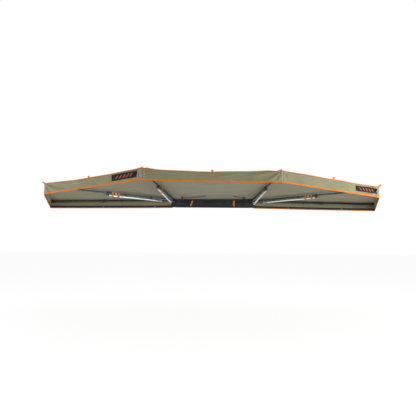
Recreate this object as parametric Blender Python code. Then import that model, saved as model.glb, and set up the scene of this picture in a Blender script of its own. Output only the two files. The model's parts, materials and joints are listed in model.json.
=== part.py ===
"""A free-standing half-circle vehicle awning: a back rail with a hub at each end, three telescopic arms on
each hub, four stowed legs, and a canopy of five fabric panels with a valance.

Metres, +Z up. The origin is the centre of the back rail's rear face, +Y points at the vehicle and the awning
opens towards -Y. The model stands open, as in use.
"""

import math

import bmesh
import bpy
from mathutils import Matrix, Vector

# Clearances
GAP = 0.0003
SLIDE_GAP = 0.0015
SWING_GAP = 0.0035
STOP_GAP = 0.005

# Back rail, an aluminium extrusion bolted to the roof rack through its two rear slots
RAIL_LENGTH = 1.42
RAIL_HEIGHT = 0.145
RAIL_DEPTH = 0.014
RIDGE_DEPTH = 0.003
RIDGE_HEIGHT = 0.006
RIDGE_FROM_TOP = 0.039
RIDGE_FROM_BOTTOM = 0.045
SLOT_SPACING = 0.080
SLOT_MOUTH = 0.008
SLOT_LIP = 0.003
SLOT_WIDTH = 0.015
SLOT_DEPTH = 0.009
TRACK_SIZE = 0.0085
TRACK_WALL = 0.0015
TRACK_MOUTH = 0.003

# Travel cover and the straps that hold it shut on the road
COVER_THICKNESS = 0.025
COVER_MARGIN = 0.012
STRAP_WIDTH = 0.030
STRAP_THICKNESS = 0.0016
CASE_STRAP_SPACE = 0.0012
CASE_STRAP_X = 0.40

# Hubs
HUB_OVERHANG = 0.045
HUB_TOP_SPACE = 0.001
PIN_RADIUS = 0.008
PIN_HEAD_RADIUS = 0.013
PIN_HEAD_HEIGHT = 0.003
TANG_THICKNESS = 0.010
TANG_SPACE = 0.003
TANG_RADIUS = 0.018
TANG_ROOT = 0.024
TANG_SHOULDER = 0.0292
HUB_PLATE_THICKNESS = 0.005
HUB_PLATE_RADIUS = 0.040
FLANGE_THICKNESS = 0.006
FLANGE_INBOARD = 0.155
FLANGE_INSET = 0.0005
OUTRIGGER_WALL = 0.006

# Arms, counted from the rail forwards: direction from straight outboard, and rise, in degrees
ARMS = (("rear", 0.0, -1.0), ("middle", 43.0, 0.0), ("front", 86.0, 2.2))
ARM_TUBE = 0.034
ARM_WALL = 0.002
ARM_START = 0.075
ARM_PLUG = 0.030
EXTENSION_WALL = 0.0015
EXTENSION_OVERLAP = 0.2415
CLAMP_REACH = 1.27
CLAMP_LENGTH = 0.070
CLAMP_WALL = 0.0027
CASTING_CORNER = 0.004
TIP_LENGTH = 0.040
TIP_WALL = 0.003
TIP_END = 0.008
POST_RADIUS = 0.006
PAD_RADIUS = 0.012
PAD_THICKNESS = 0.005
LANE_GAP = 0.002
FRONT_LANE = -0.020
SIDE_GAP = 0.004

# Legs, stowed under the middle and front arms: droop of each arm's leg, in degrees
LEG_DROOP = {"middle": 0.0, "front": 2.3}
LEG_RADIUS = 0.014
LEG_WALL = 0.0015
LEG_HEADROOM = 0.007
LEG_NOSE = 0.030
LEG_PLUG = 0.015
LEG_OVERLAP = 0.07
LEG_EXTENSION_START = 0.06
LEG_COLLAR_LENGTH = 0.038
LEG_COLLAR_WALL = 0.0025
LEG_COLLAR_CHAMFER = 0.002
LEG_EXTENSION_WALL = 0.0012
LEG_SLIDE_GAP = 0.0008
FOOT_REACH = 0.22
FOOT_SHOWS = 0.06
FOOT_WALL = 0.005
FOOT_SOLE = 0.020
FOOT_CLEAR = 0.006
FOOT_FLARE = 0.003
LEG_PIN_RADIUS = 0.004
EAR_THICKNESS = 0.006
EAR_MARGIN = 0.008
TONGUE_WIDTH = 0.015
TONGUE_MARGIN = 0.006
PIN_INSET = 0.002

# Clamp levers
LEVER_PIN_RADIUS = 0.002
LEVER_BARREL_RADIUS = 0.006
LEVER_LENGTH = 0.060
LEVER_THICKNESS = 0.004
LEVER_LIP = 0.003
LEVER_INSET = 0.004
LEVER_SPACE = 0.001
LUG_THICKNESS = 0.005

# Webbing on the legs: how far inboard of the clamp each saddle stands
STRAP_INSETS = {"middle": (0.18, 0.07), "front": (0.21,)}
STRAP_TAIL = 0.012

# Canopy
CANOPY_THICKNESS = 0.002
CANOPY_OVER_PIN = 0.0025
CANOPY_PAD_GAP = 0.0007
CANOPY_START = 0.05
CANOPY_EDGE = 0.032
VALANCE = 0.156
REAR_VALANCE_SPACE = 0.028
SEAM_GAP = 0.001
RAIL_EDGE = 0.006
RAIL_EDGE_OVERHANG = 0.060

# Sides of a round, by its size, a tube's outer corner in walls, and how far a cutter or a joint runs over
ROUND_STEPS = 16
SMALL_STEPS = 12
TINY_STEPS = 8
CORNER_WALLS = 2.2
CUT_MARGIN = 0.01
JOIN = 0.001

# What follows from those sizes
RIDGE_LEVELS = (RAIL_HEIGHT / 2 - RIDGE_FROM_TOP, -RAIL_HEIGHT / 2 + RIDGE_FROM_BOTTOM)
CASE_STRAP_LENGTH = RAIL_HEIGHT - TRACK_SIZE - GAP - COVER_THICKNESS - CASE_STRAP_SPACE
CLAMP_WIDTH = ARM_TUBE + 2 * (GAP + CLAMP_WALL)
LANE_PITCH = CLAMP_WIDTH + LANE_GAP
LANES = {"front": FRONT_LANE, "middle": FRONT_LANE + LANE_PITCH, "rear": FRONT_LANE + 2 * LANE_PITCH}
HUB_X = RAIL_LENGTH / 2 + HUB_OVERHANG
FLANGE_BACK = -RAIL_DEPTH - RIDGE_DEPTH - GAP
FLANGE_FRONT = FLANGE_BACK - FLANGE_THICKNESS
RIGHT_HUB_Y = FLANGE_FRONT - SWING_GAP - CLAMP_WIDTH / 2 - LANES["rear"]
LEFT_HUB_Y = RIGHT_HUB_Y - 3 * LANE_PITCH - SIDE_GAP
TANG_PITCH = TANG_THICKNESS + TANG_SPACE
TANG_LEVELS = {"front": TANG_PITCH, "middle": 0.0, "rear": -TANG_PITCH}
HUB_PLATE_LEVEL = TANG_PITCH + TANG_THICKNESS / 2 + TANG_SPACE
HUB_LEVEL = RAIL_HEIGHT / 2 - HUB_TOP_SPACE - HUB_PLATE_LEVEL - HUB_PLATE_THICKNESS
PIN_HALF_LENGTH = HUB_PLATE_LEVEL + HUB_PLATE_THICKNESS + GAP
EXTENSION_TUBE = ARM_TUBE - 2 * ARM_WALL - 2 * SLIDE_GAP
EXTENSION_START = CLAMP_REACH - EXTENSION_OVERLAP
ARM_TRAVEL = EXTENSION_START - ARM_START - ARM_PLUG - SWING_GAP
TIP_REACH = CLAMP_REACH + CLAMP_LENGTH / 2 + STOP_GAP + TIP_LENGTH / 2 + ARM_TRAVEL
EXTENSION_END = TIP_REACH + TIP_LENGTH / 2 - TIP_END - GAP
CANOPY_UNDER = PIN_HALF_LENGTH + PIN_HEAD_HEIGHT + CANOPY_OVER_PIN
LEG_DROP = ARM_TUBE / 2 + LEG_HEADROOM + LEG_RADIUS
LEG_LENGTH = CLAMP_REACH - FOOT_REACH
LEG_TUBE_LENGTH = LEG_LENGTH - FOOT_SHOWS
LEG_TRAVEL = LEG_TUBE_LENGTH - LEG_OVERLAP - LEG_EXTENSION_START
LEVER_X = CLAMP_REACH + CLAMP_LENGTH / 2 - LEVER_BARREL_RADIUS - LEVER_INSET
LEVER_DROP = CLAMP_WIDTH / 2 + LEVER_BARREL_RADIUS + LEVER_SPACE

# Colours, roughness and metallic value of each material
FINISHES = {
    "rail_black": ((0.020, 0.021, 0.022), 0.45, 0.6),
    "cover_black": ((0.016, 0.016, 0.017), 0.80, 0.0),
    "bracket_black": ((0.025, 0.026, 0.028), 0.50, 0.6),
    "pin_steel": ((0.42, 0.43, 0.44), 0.35, 1.0),
    "arm_charcoal": ((0.045, 0.052, 0.065), 0.42, 0.7),
    "casting_black": ((0.022, 0.023, 0.025), 0.55, 0.2),
    "leg_silver": ((0.62, 0.64, 0.66), 0.30, 1.0),
    "strap_orange": ((0.78, 0.22, 0.03), 0.75, 0.0),
    "foot_rubber": ((0.44, 0.46, 0.45), 0.70, 0.0),
    "canopy_khaki": ((0.23, 0.21, 0.15), 0.85, 0.0),
}


def material(name):
    """The named finish as a Principled material, made once."""
    if name in bpy.data.materials:
        return bpy.data.materials[name]
    colour, roughness, metallic = FINISHES[name]
    made = bpy.data.materials.new(name)
    made.use_nodes = True
    shader = made.node_tree.nodes["Principled BSDF"]
    shader.inputs["Base Color"].default_value = (*colour, 1.0)
    shader.inputs["Roughness"].default_value = roughness
    shader.inputs["Metallic"].default_value = metallic
    return made


def place(name, mesh, finish, parent=None, location=(0, 0, 0), turn=0.0):
    """An object of this mesh, turned about its Y axis by so many radians."""
    piece = bpy.data.objects.new(name, mesh)
    bpy.context.collection.objects.link(piece)
    piece.parent = parent
    piece.location = location
    piece.rotation_euler = (0.0, turn, 0.0)
    if not mesh.materials:
        mesh.materials.append(material(finish))
    return piece


def finished(shape, name, smooth_angle=35.0):
    """The bmesh as a mesh with its faces pointing out and its round sides smooth."""
    bmesh.ops.recalc_face_normals(shape, faces=shape.faces)
    mesh = bpy.data.meshes.new(name)
    shape.to_mesh(mesh)
    shape.free()
    mesh.shade_smooth()
    mesh.set_sharp_from_angle(angle=math.radians(smooth_angle))
    return mesh


def combined(name, first, add=(), cut=()):
    """One mesh from bmesh solids: the first joined with those to add, less those to cut."""
    base = bpy.data.objects.new(name, finished(first, name))
    bpy.context.collection.objects.link(base)
    helpers = []
    for operation, shapes in (("UNION", add), ("DIFFERENCE", cut)):
        for shape in shapes:
            helper = bpy.data.objects.new("helper", finished(shape, "helper"))
            bpy.context.collection.objects.link(helper)
            helpers.append(helper)
            modifier = base.modifiers.new(operation.lower(), "BOOLEAN")
            modifier.operation = operation
            modifier.object = helper
    depsgraph = bpy.context.evaluated_depsgraph_get()
    mesh = bpy.data.meshes.new_from_object(base.evaluated_get(depsgraph))
    mesh.name = name
    for leftover in (base, *helpers):
        bpy.data.meshes.remove(leftover.data)
    mesh.materials.clear()
    mesh.shade_smooth()
    mesh.set_sharp_from_angle(angle=math.radians(35.0))
    return mesh


def prism(outline, low, high, axis="z"):
    """A closed outline, in the other two axes in order, carried from low to high along an axis."""
    order = {"x": (2, 0, 1), "y": (0, 2, 1), "z": (0, 1, 2)}[axis]
    shape = bmesh.new()
    ends = []
    for level in (low, high):
        ring = []
        for first, second in outline:
            given = (first, second, level)
            ring.append(shape.verts.new([given[index] for index in order]))
        ends.append(ring)
        shape.faces.new(ring)
    count = len(outline)
    for index in range(count):
        after = (index + 1) % count
        shape.faces.new((ends[0][index], ends[0][after], ends[1][after], ends[1][index]))
    return shape


def box(low, high):
    """A box between two corners."""
    outline = [(low[0], low[1]), (high[0], low[1]), (high[0], high[1]), (low[0], high[1])]
    return prism(outline, low[2], high[2])


def arc(centre, radius, start, stop, steps):
    """Points on a circle between two angles in degrees, both ends included."""
    points = []
    for index in range(steps + 1):
        angle = math.radians(start + (stop - start) * index / steps)
        points.append((centre[0] + radius * math.cos(angle), centre[1] + radius * math.sin(angle)))
    return points


def rounded_box(half_width, half_height, radius, steps=2):
    """The outline of a rectangle with round corners about the origin."""
    points = []
    for corner, (x_sign, y_sign) in enumerate(((1, 1), (-1, 1), (-1, -1), (1, -1))):
        centre = (x_sign * (half_width - radius), y_sign * (half_height - radius))
        points += arc(centre, radius, 90 * corner, 90 * corner + 90, steps)
    return points


def circle(centre, radius, steps=ROUND_STEPS):
    """A circle's outline."""
    return arc(centre, radius, 0, 360 - 360 / steps, steps - 1)


def turned(profile, axis="z", steps=ROUND_STEPS):
    """A closed profile of (radius, level) points turned about an axis. Its ends lie on the axis."""
    shape = bmesh.new()
    rings = []
    for radius, level in profile:
        if radius == 0.0:
            rings.append([shape.verts.new((0, 0, level))])
            continue
        rings.append([shape.verts.new((x, y, level)) for x, y in circle((0, 0), radius, steps)])
    for lower, upper in zip(rings, rings[1:]):
        for index in range(steps):
            after = (index + 1) % steps
            corners = [lower[index % len(lower)], lower[after % len(lower)]]
            corners += [upper[after % len(upper)], upper[index % len(upper)]]
            shape.faces.new(list(dict.fromkeys(corners)))
    if axis == "x":
        bmesh.ops.rotate(shape, verts=shape.verts, matrix=Matrix.Rotation(math.radians(90), 3, "Y"))
    return shape


def rod(radius, low, high, centre, axis="y", steps=ROUND_STEPS):
    """A cylinder along an axis, through a centre given in the other two axes in order."""
    return prism(circle(centre, radius, steps), low, high, axis)


def square_tube(width, wall, start, end, plug=0.0):
    """A hollow square tube along X. With a plug its first stretch is solid."""
    outer = rounded_box(width / 2, width / 2, CORNER_WALLS * wall)
    inner = rounded_box(width / 2 - wall, width / 2 - wall, (CORNER_WALLS - 1) * wall)
    shape = bmesh.new()
    stations = [(outer, start), (outer, end), (inner, end), (inner, start + plug)]
    rings = [[shape.verts.new((x, y, z)) for y, z in outline] for outline, x in stations]
    pairs = list(zip(rings, rings[1:]))
    if plug:
        shape.faces.new(rings[0])
        shape.faces.new(rings[-1])
    else:
        pairs.append((rings[-1], rings[0]))
    count = len(outer)
    for one, other in pairs:
        for index in range(count):
            after = (index + 1) % count
            shape.faces.new((one[index], one[after], other[after], other[index]))
    return shape


def back_rail():
    """The extrusion: two raised ridges in front, two T slots behind."""
    half = RAIL_HEIGHT / 2
    outline = [(0, -half), (-RAIL_DEPTH, -half)]
    for level in sorted(RIDGE_LEVELS):
        low, high = level - RIDGE_HEIGHT / 2, level + RIDGE_HEIGHT / 2
        proud = -RAIL_DEPTH - RIDGE_DEPTH
        outline += [(-RAIL_DEPTH, low), (proud, low), (proud, high), (-RAIL_DEPTH, high)]
    outline += [(-RAIL_DEPTH, half), (0, half)]
    for level in (SLOT_SPACING / 2, -SLOT_SPACING / 2):
        for side in (1, -1):
            mouth, inside = level + side * SLOT_MOUTH / 2, level + side * SLOT_WIDTH / 2
            slot = [(0, mouth), (-SLOT_LIP, mouth), (-SLOT_LIP, inside), (-SLOT_DEPTH, inside)]
            outline += slot if side == 1 else reversed(slot)
    mesh = finished(prism(outline, -RAIL_LENGTH / 2, RAIL_LENGTH / 2, "x"), "back_rail")
    place("back_rail", mesh, "rail_black")


def hub_y(side):
    """The depth of a hub's pin. The left hub stands forward, so its arms fold in front of the right ones."""
    return RIGHT_HUB_Y if side == 1 else LEFT_HUB_Y


def hub_bracket(name, side):
    """A flange on the rail, two plates that hold the pin, and on the deep left hub two walls between them."""
    pin = (side * HUB_X, hub_y(side))
    outboard = side * (HUB_X + HUB_PLATE_RADIUS)
    inboard = side * (HUB_X - FLANGE_INBOARD)
    flange_half = RAIL_HEIGHT / 2 - FLANGE_INSET
    flange = box(
        (min(inboard, outboard), FLANGE_FRONT, -flange_half),
        (max(inboard, outboard), FLANGE_BACK, flange_half),
    )
    nose = arc(pin, HUB_PLATE_RADIUS, 180, 360, 10)
    root = (FLANGE_FRONT + FLANGE_BACK) / 2
    plate = nose + [(pin[0] + HUB_PLATE_RADIUS, root), (pin[0] - HUB_PLATE_RADIUS, root)]
    plates = []
    for low in (HUB_PLATE_LEVEL, -HUB_PLATE_LEVEL - HUB_PLATE_THICKNESS):
        plates.append(prism(plate, HUB_LEVEL + low, HUB_LEVEL + low + HUB_PLATE_THICKNESS))
    walls = []
    wall_front = pin[1] + LANES["rear"] + CLAMP_WIDTH / 2 + SWING_GAP
    wall_half = HUB_PLATE_LEVEL + HUB_PLATE_THICKNESS / 2
    if wall_front < FLANGE_FRONT - OUTRIGGER_WALL:
        for edge in (-1, 1):
            outer = pin[0] + edge * HUB_PLATE_RADIUS
            inner = outer - edge * OUTRIGGER_WALL
            low = (min(outer, inner), wall_front, HUB_LEVEL - wall_half)
            high = (max(outer, inner), root, HUB_LEVEL + wall_half)
            walls.append(box(low, high))
    half_hole = PIN_HALF_LENGTH + CUT_MARGIN
    hole = rod(PIN_RADIUS + GAP, HUB_LEVEL - half_hole, HUB_LEVEL + half_hole, pin, "z")
    mesh = combined(name, flange, add=plates + walls, cut=[hole])
    merge_close_points(mesh)
    place(name, mesh, "bracket_black")


def merge_close_points(mesh):
    """Merge points that lie within a hundredth of a millimetre."""
    shape = bmesh.new()
    shape.from_mesh(mesh)
    bmesh.ops.remove_doubles(shape, verts=shape.verts, dist=0.00001)
    shape.to_mesh(mesh)
    shape.free()


def hub_pin_mesh():
    """A turned pin with a flat head above the top plate and a nut below the bottom plate."""
    head = PIN_HALF_LENGTH + PIN_HEAD_HEIGHT
    profile = [(0.0, -head), (PIN_HEAD_RADIUS, -head), (PIN_HEAD_RADIUS, -PIN_HALF_LENGTH)]
    profile += [(PIN_RADIUS, -PIN_HALF_LENGTH), (PIN_RADIUS, PIN_HALF_LENGTH)]
    profile += [(PIN_HEAD_RADIUS, PIN_HALF_LENGTH), (PIN_HEAD_RADIUS, head), (0.0, head)]
    return finished(turned(profile), "hub_pin")


def canopy_rail():
    """The track along the rail's upper front edge that the canopy's corded edge slides into."""
    back, top = -RAIL_DEPTH - GAP, RAIL_HEIGHT / 2
    front, low = back - TRACK_SIZE, top - TRACK_SIZE
    middle = (back + front) / 2
    mouth, inside = TRACK_MOUTH / 2, TRACK_SIZE / 2 - TRACK_WALL
    outline = [(back, low), (back, top), (middle + mouth, top), (middle + mouth, top - TRACK_WALL)]
    outline += [(middle + inside, top - TRACK_WALL), (middle + inside, low + TRACK_WALL)]
    outline += [(middle - inside, low + TRACK_WALL), (middle - inside, top - TRACK_WALL)]
    outline += [(middle - mouth, top - TRACK_WALL), (middle - mouth, top), (front, top), (front, low)]
    half_length = HUB_X - FLANGE_INBOARD - GAP
    mesh = finished(prism(outline, -half_length, half_length, "x"), "canopy_rail")
    place("canopy_rail", mesh, "rail_black")


def travel_cover():
    """The folded cover, strapped in a flat roll along the foot of the rail between the flanges."""
    half_length = HUB_X - FLANGE_INBOARD - COVER_MARGIN
    half = COVER_THICKNESS / 2
    centre = (-RAIL_DEPTH - GAP - half, -RAIL_HEIGHT / 2 + half)
    outline = [(centre[0] + y, centre[1] + z) for y, z in rounded_box(half, half, half * 0.7, 3)]
    mesh = finished(prism(outline, -half_length, half_length, "x"), "travel_cover")
    place("travel_cover", mesh, "cover_black")


def case_strap_mesh():
    """A flat tail of webbing that hangs down the front of the rail."""
    top = RAIL_HEIGHT / 2 - TRACK_SIZE - GAP
    low = (-STRAP_WIDTH / 2, -STRAP_THICKNESS, top - CASE_STRAP_LENGTH)
    return finished(box(low, (STRAP_WIDTH / 2, 0.0, top)), "case_strap")


def line_matrix(side, arm, rise):
    """From the line of an arm's tube to its pivot: the tube runs in its lane and rises by its own angle."""
    lane = Matrix.Translation((0, side * LANES[arm], 0))
    return lane @ Matrix.Rotation(-math.radians(rise), 4, "Y")


def arm_tube_mesh(side, arm, rise):
    """The square tube and the cranked tang that carries it on the pin."""
    tube = square_tube(ARM_TUBE, ARM_WALL, ARM_START, CLAMP_REACH, ARM_PLUG)
    bmesh.ops.transform(tube, verts=tube.verts, matrix=line_matrix(side, arm, rise))
    lane, half = LANES[arm], ARM_TUBE / 2 - ARM_WALL
    low, high = sorted((side * (lane - half), side * (lane + half)))
    reach = ARM_START + TANG_ROOT
    crank = ARM_START - TANG_SHOULDER
    outline = [(crank, low), (reach, low), (reach, high), (crank, high)]
    lean = math.degrees(math.atan2(side * lane, crank))
    outline += arc((0, 0), TANG_RADIUS, lean + 90, lean + 270, 8)
    level = TANG_LEVELS[arm]
    tang = prism(outline, level - TANG_THICKNESS / 2, level + TANG_THICKNESS / 2)
    hole = rod(PIN_RADIUS + GAP, level - TANG_THICKNESS, level + TANG_THICKNESS, (0, 0), "z")
    mesh = combined("arm_tube", tang, add=[tube], cut=[hole])
    merge_close_points(mesh)
    return mesh


def extension_mesh():
    """The inner tube that telescopes in the arm."""
    tube = square_tube(EXTENSION_TUBE, EXTENSION_WALL, EXTENSION_START, EXTENSION_END)
    return finished(tube, "extension")


def clamp_mesh(with_leg):
    """The clamp on the arm's outer end: a sleeve, a tighter collar, lugs for the lever and ears for a leg."""
    half = CLAMP_WIDTH / 2
    start, end = CLAMP_REACH - CLAMP_LENGTH / 2, CLAMP_REACH + CLAMP_LENGTH / 2
    body = prism(rounded_box(half, half, CASTING_CORNER), start, end, "x")
    sleeve = ARM_TUBE / 2 + GAP
    collar = EXTENSION_TUBE / 2 + GAP
    sleeve_outline = rounded_box(sleeve, sleeve, CORNER_WALLS * ARM_WALL)
    collar_outline = rounded_box(collar, collar, CORNER_WALLS * EXTENSION_WALL)
    cuts = [
        prism(sleeve_outline, start - CUT_MARGIN, CLAMP_REACH + GAP, "x"),
        prism(collar_outline, start, end + CUT_MARGIN, "x"),
    ]
    add = []
    root = -half + CLAMP_WALL / 2
    inner, outer = TONGUE_WIDTH / 2 + GAP, TONGUE_WIDTH / 2 + GAP + EAR_THICKNESS
    reach = LEVER_BARREL_RADIUS + LEVER_SPACE
    for side in (-1, 1):
        low, high = sorted((side * inner, side * (inner + LUG_THICKNESS)))
        outline = [(LEVER_X + reach, root), (LEVER_X - reach, root)]
        outline += arc((LEVER_X, -LEVER_DROP), reach, 180, 360, 6)
        add.append(prism(outline, low, high, "y"))
        if with_leg:
            low, high = sorted((side * inner, side * outer))
            ear = LEG_PIN_RADIUS + EAR_MARGIN
            outline = [(CLAMP_REACH + ear, root), (CLAMP_REACH - ear, root)]
            outline += arc((CLAMP_REACH, -LEG_DROP), ear, 180, 360, 8)
            add.append(prism(outline, low, high, "y"))
    across = outer - PIN_INSET
    add.append(rod(LEVER_PIN_RADIUS, -across, across, (LEVER_X, -LEVER_DROP), "y", TINY_STEPS))
    if with_leg:
        add.append(rod(LEG_PIN_RADIUS, -across, across, (CLAMP_REACH, -LEG_DROP), "y", SMALL_STEPS))
    mesh = combined("clamp", body, add=add, cut=cuts)
    merge_close_points(mesh)
    return mesh


def lever_mesh():
    """A clamp lever: a barrel on its pin and a flat handle that ends in a down-turned lip."""
    barrel = LEVER_BARREL_RADIUS
    half = TONGUE_WIDTH / 2
    top = -barrel + LEVER_THICKNESS
    outline = arc((0, 0), barrel, 90, 270, 8)
    outline += [(LEVER_LENGTH, -barrel), (LEVER_LENGTH + LEVER_LIP, -barrel - LEVER_LIP)]
    outline += [(LEVER_LENGTH + 1.5 * LEVER_LIP, -barrel - LEVER_LIP / 4), (LEVER_LENGTH, top)]
    outline += [(1.6 * barrel, top), (0.9 * barrel, 0.0)]
    across = half + CUT_MARGIN
    hole = rod(LEVER_PIN_RADIUS + GAP, -across, across, (0, 0), "y", TINY_STEPS)
    mesh = combined("clamp_lever", prism(outline, -half, half, "y"), cut=[hole])
    merge_close_points(mesh)
    return mesh


def tip_mesh():
    """The cap on an extension's end, with the post and pad that carry the canopy's corner."""
    start, end = TIP_REACH - TIP_LENGTH / 2, TIP_REACH + TIP_LENGTH / 2
    bore = EXTENSION_TUBE / 2 + GAP
    half = bore + TIP_WALL
    body = prism(rounded_box(half, half, CASTING_CORNER), start, end, "x")
    bore_outline = rounded_box(bore, bore, CORNER_WALLS * EXTENSION_WALL)
    hollow = prism(bore_outline, start - CUT_MARGIN, end - TIP_END, "x")
    pad_top = CANOPY_UNDER - CANOPY_PAD_GAP
    pad_low = pad_top - PAD_THICKNESS
    post = rod(POST_RADIUS, half - TIP_WALL / 2, pad_low + JOIN, (TIP_REACH, 0), "z", SMALL_STEPS)
    pad = rod(PAD_RADIUS, pad_low, pad_top, (TIP_REACH, 0), "z")
    mesh = combined("tip_bracket", body, add=[post, pad], cut=[hollow])
    merge_close_points(mesh)
    return mesh


def leg_tube_mesh():
    """A leg's outer tube, towards -X from its pivot, with its tongue and the collar of its twist lock."""
    bore = LEG_RADIUS - LEG_WALL
    collar = LEG_RADIUS + LEG_COLLAR_WALL
    collar_start = LEG_TUBE_LENGTH - LEG_COLLAR_LENGTH
    floor = -LEG_NOSE - LEG_PLUG
    profile = [(0.0, -LEG_NOSE), (LEG_RADIUS, -LEG_NOSE), (LEG_RADIUS, -collar_start)]
    profile += [(collar, -collar_start - LEG_COLLAR_CHAMFER), (collar, -LEG_TUBE_LENGTH)]
    profile += [(bore, -LEG_TUBE_LENGTH), (bore, floor), (0.0, floor)]
    tube = turned(profile, "x")
    half = TONGUE_WIDTH / 2
    radius = LEG_PIN_RADIUS + TONGUE_MARGIN
    root = -LEG_NOSE - 0.4 * LEG_PLUG
    outline = arc((0, 0), radius, -90, 90, 8) + [(root, radius), (root, -radius)]
    tongue = prism(outline, -half, half, "y")
    across = half + CUT_MARGIN
    hole = rod(LEG_PIN_RADIUS + GAP, -across, across, (0, 0), "y", SMALL_STEPS)
    mesh = combined("leg_tube", tube, add=[tongue], cut=[hole])
    merge_close_points(mesh)
    return mesh


def leg_extension_mesh():
    """A leg's inner tube."""
    outer = LEG_RADIUS - LEG_WALL - LEG_SLIDE_GAP
    inner = outer - LEG_EXTENSION_WALL
    start = -(LEG_TUBE_LENGTH - LEG_OVERLAP - LEG_TRAVEL)
    end = -(LEG_LENGTH - FOOT_SOLE - GAP)
    shape = bmesh.new()
    rings = []
    for radius, x in ((outer, start), (outer, end), (inner, end), (inner, start)):
        rings.append([shape.verts.new((x, y, z)) for y, z in circle((0, 0), radius)])
    for index in range(4):
        one, other = rings[index], rings[(index + 1) % 4]
        for step in range(ROUND_STEPS):
            after = (step + 1) % ROUND_STEPS
            shape.faces.new((one[step], one[after], other[after], other[step]))
    return finished(shape, "leg_extension")


def foot_mesh():
    """A rubber cup on the leg's end, with a flared sole."""
    bore = LEG_RADIUS - LEG_WALL - LEG_SLIDE_GAP + GAP
    outer = bore + FOOT_WALL
    mouth = -(LEG_TUBE_LENGTH + FOOT_CLEAR)
    floor = -(LEG_LENGTH - FOOT_SOLE)
    sole = outer + FOOT_FLARE
    profile = [(0.0, floor), (bore, floor), (bore, mouth), (outer - FOOT_FLARE / 2, mouth)]
    profile += [(outer, mouth - FOOT_FLARE), (outer, floor), (sole, -LEG_LENGTH + FOOT_SOLE / 5)]
    profile += [(sole, -LEG_LENGTH), (0.0, -LEG_LENGTH)]
    return finished(turned(profile, "x"), "leg_foot")


def leg_strap_mesh(insets):
    """Webbing saddles over the arm, open below so that the leg can swing out, on one strip along its top."""
    inner = ARM_TUBE / 2 + 2 * GAP
    outer = inner + STRAP_THICKNESS
    low = -LEG_DROP - STRAP_TAIL
    outline = [(-outer, low), (-outer, outer), (outer, outer), (outer, low)]
    outline += [(inner, low), (inner, inner), (-inner, inner), (-inner, low)]
    half = STRAP_WIDTH / 2
    places = [CLAMP_REACH - inset for inset in insets]
    saddles = [prism(outline, reach - half, reach + half, "x") for reach in places]
    strip = box((min(places), -half / 2, inner), (max(places) + half / 2, half / 2, outer + STRAP_THICKNESS))
    mesh = combined("leg_strap", saddles[0], add=saddles[1:] + [strip])
    merge_close_points(mesh)
    return mesh


def pivot_empty(name, location, spin, parent=None, turn=0.0):
    """An empty on a joint's axis, spun about Z and turned about its own Y axis."""
    empty = bpy.data.objects.new(name, None)
    bpy.context.collection.objects.link(empty)
    empty.parent = parent
    empty.location = location
    empty.rotation_euler = (0.0, turn, spin)
    return empty


def arm_spin(side, direction):
    """The turn about Z that points an arm's X axis along it."""
    return -math.radians(direction) if side == 1 else math.pi + math.radians(direction)


def arm(side_name, side, arm_name, direction, rise):
    """One arm with its clamp, lever, extension and tip, and its leg where it has one."""
    prefix = f"{side_name}_{arm_name}"
    pivot = pivot_empty(f"{prefix}_pivot", (side * HUB_X, hub_y(side), HUB_LEVEL), arm_spin(side, direction))
    place(f"{prefix}_arm", arm_tube_mesh(side, arm_name, rise), "arm_charcoal", pivot)
    line = pivot_empty(f"{prefix}_line", (0, side * LANES[arm_name], 0), 0.0, pivot, -math.radians(rise))
    with_leg = arm_name in LEG_DROOP
    place(f"{prefix}_clamp", clamp_mesh(with_leg), "casting_black", line)
    place(f"{prefix}_clamp_lever", lever_mesh(), "casting_black", line, (LEVER_X, 0, -LEVER_DROP))
    place(f"{prefix}_extension", extension_mesh(), "arm_charcoal", line)
    place(f"{prefix}_tip", tip_mesh(), "casting_black", line)
    if not with_leg:
        return
    droop = -math.radians(LEG_DROOP[arm_name])
    at = (CLAMP_REACH, 0, -LEG_DROP)
    place(f"{prefix}_leg", leg_tube_mesh(), "leg_silver", line, at, droop)
    place(f"{prefix}_leg_extension", leg_extension_mesh(), "leg_silver", line, at, droop)
    place(f"{prefix}_leg_foot", foot_mesh(), "foot_rubber", line, at, droop)
    place(f"{prefix}_leg_strap", leg_strap_mesh(STRAP_INSETS[arm_name]), "strap_orange", line)


def seam_point(side, arm_name, reach, shift=0.0):
    """A point of the canopy's top face over an arm, shifted forwards of the arm's line by so much."""
    _, direction, rise = next(entry for entry in ARMS if entry[0] == arm_name)
    pivot = Matrix.Translation((side * HUB_X, hub_y(side), HUB_LEVEL))
    pivot = pivot @ Matrix.Rotation(arm_spin(side, direction), 4, "Z") @ line_matrix(side, arm_name, rise)
    return pivot @ Vector((reach, -side * shift, CANOPY_UNDER + CANOPY_THICKNESS))


def rail_corner(side):
    """Where the canopy's rear edge leaves the rail."""
    top = RAIL_HEIGHT / 2 + GAP + CANOPY_THICKNESS
    return Vector((side * (RAIL_LENGTH / 2 + RAIL_EDGE_OVERHANG), -RAIL_EDGE, top))


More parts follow.
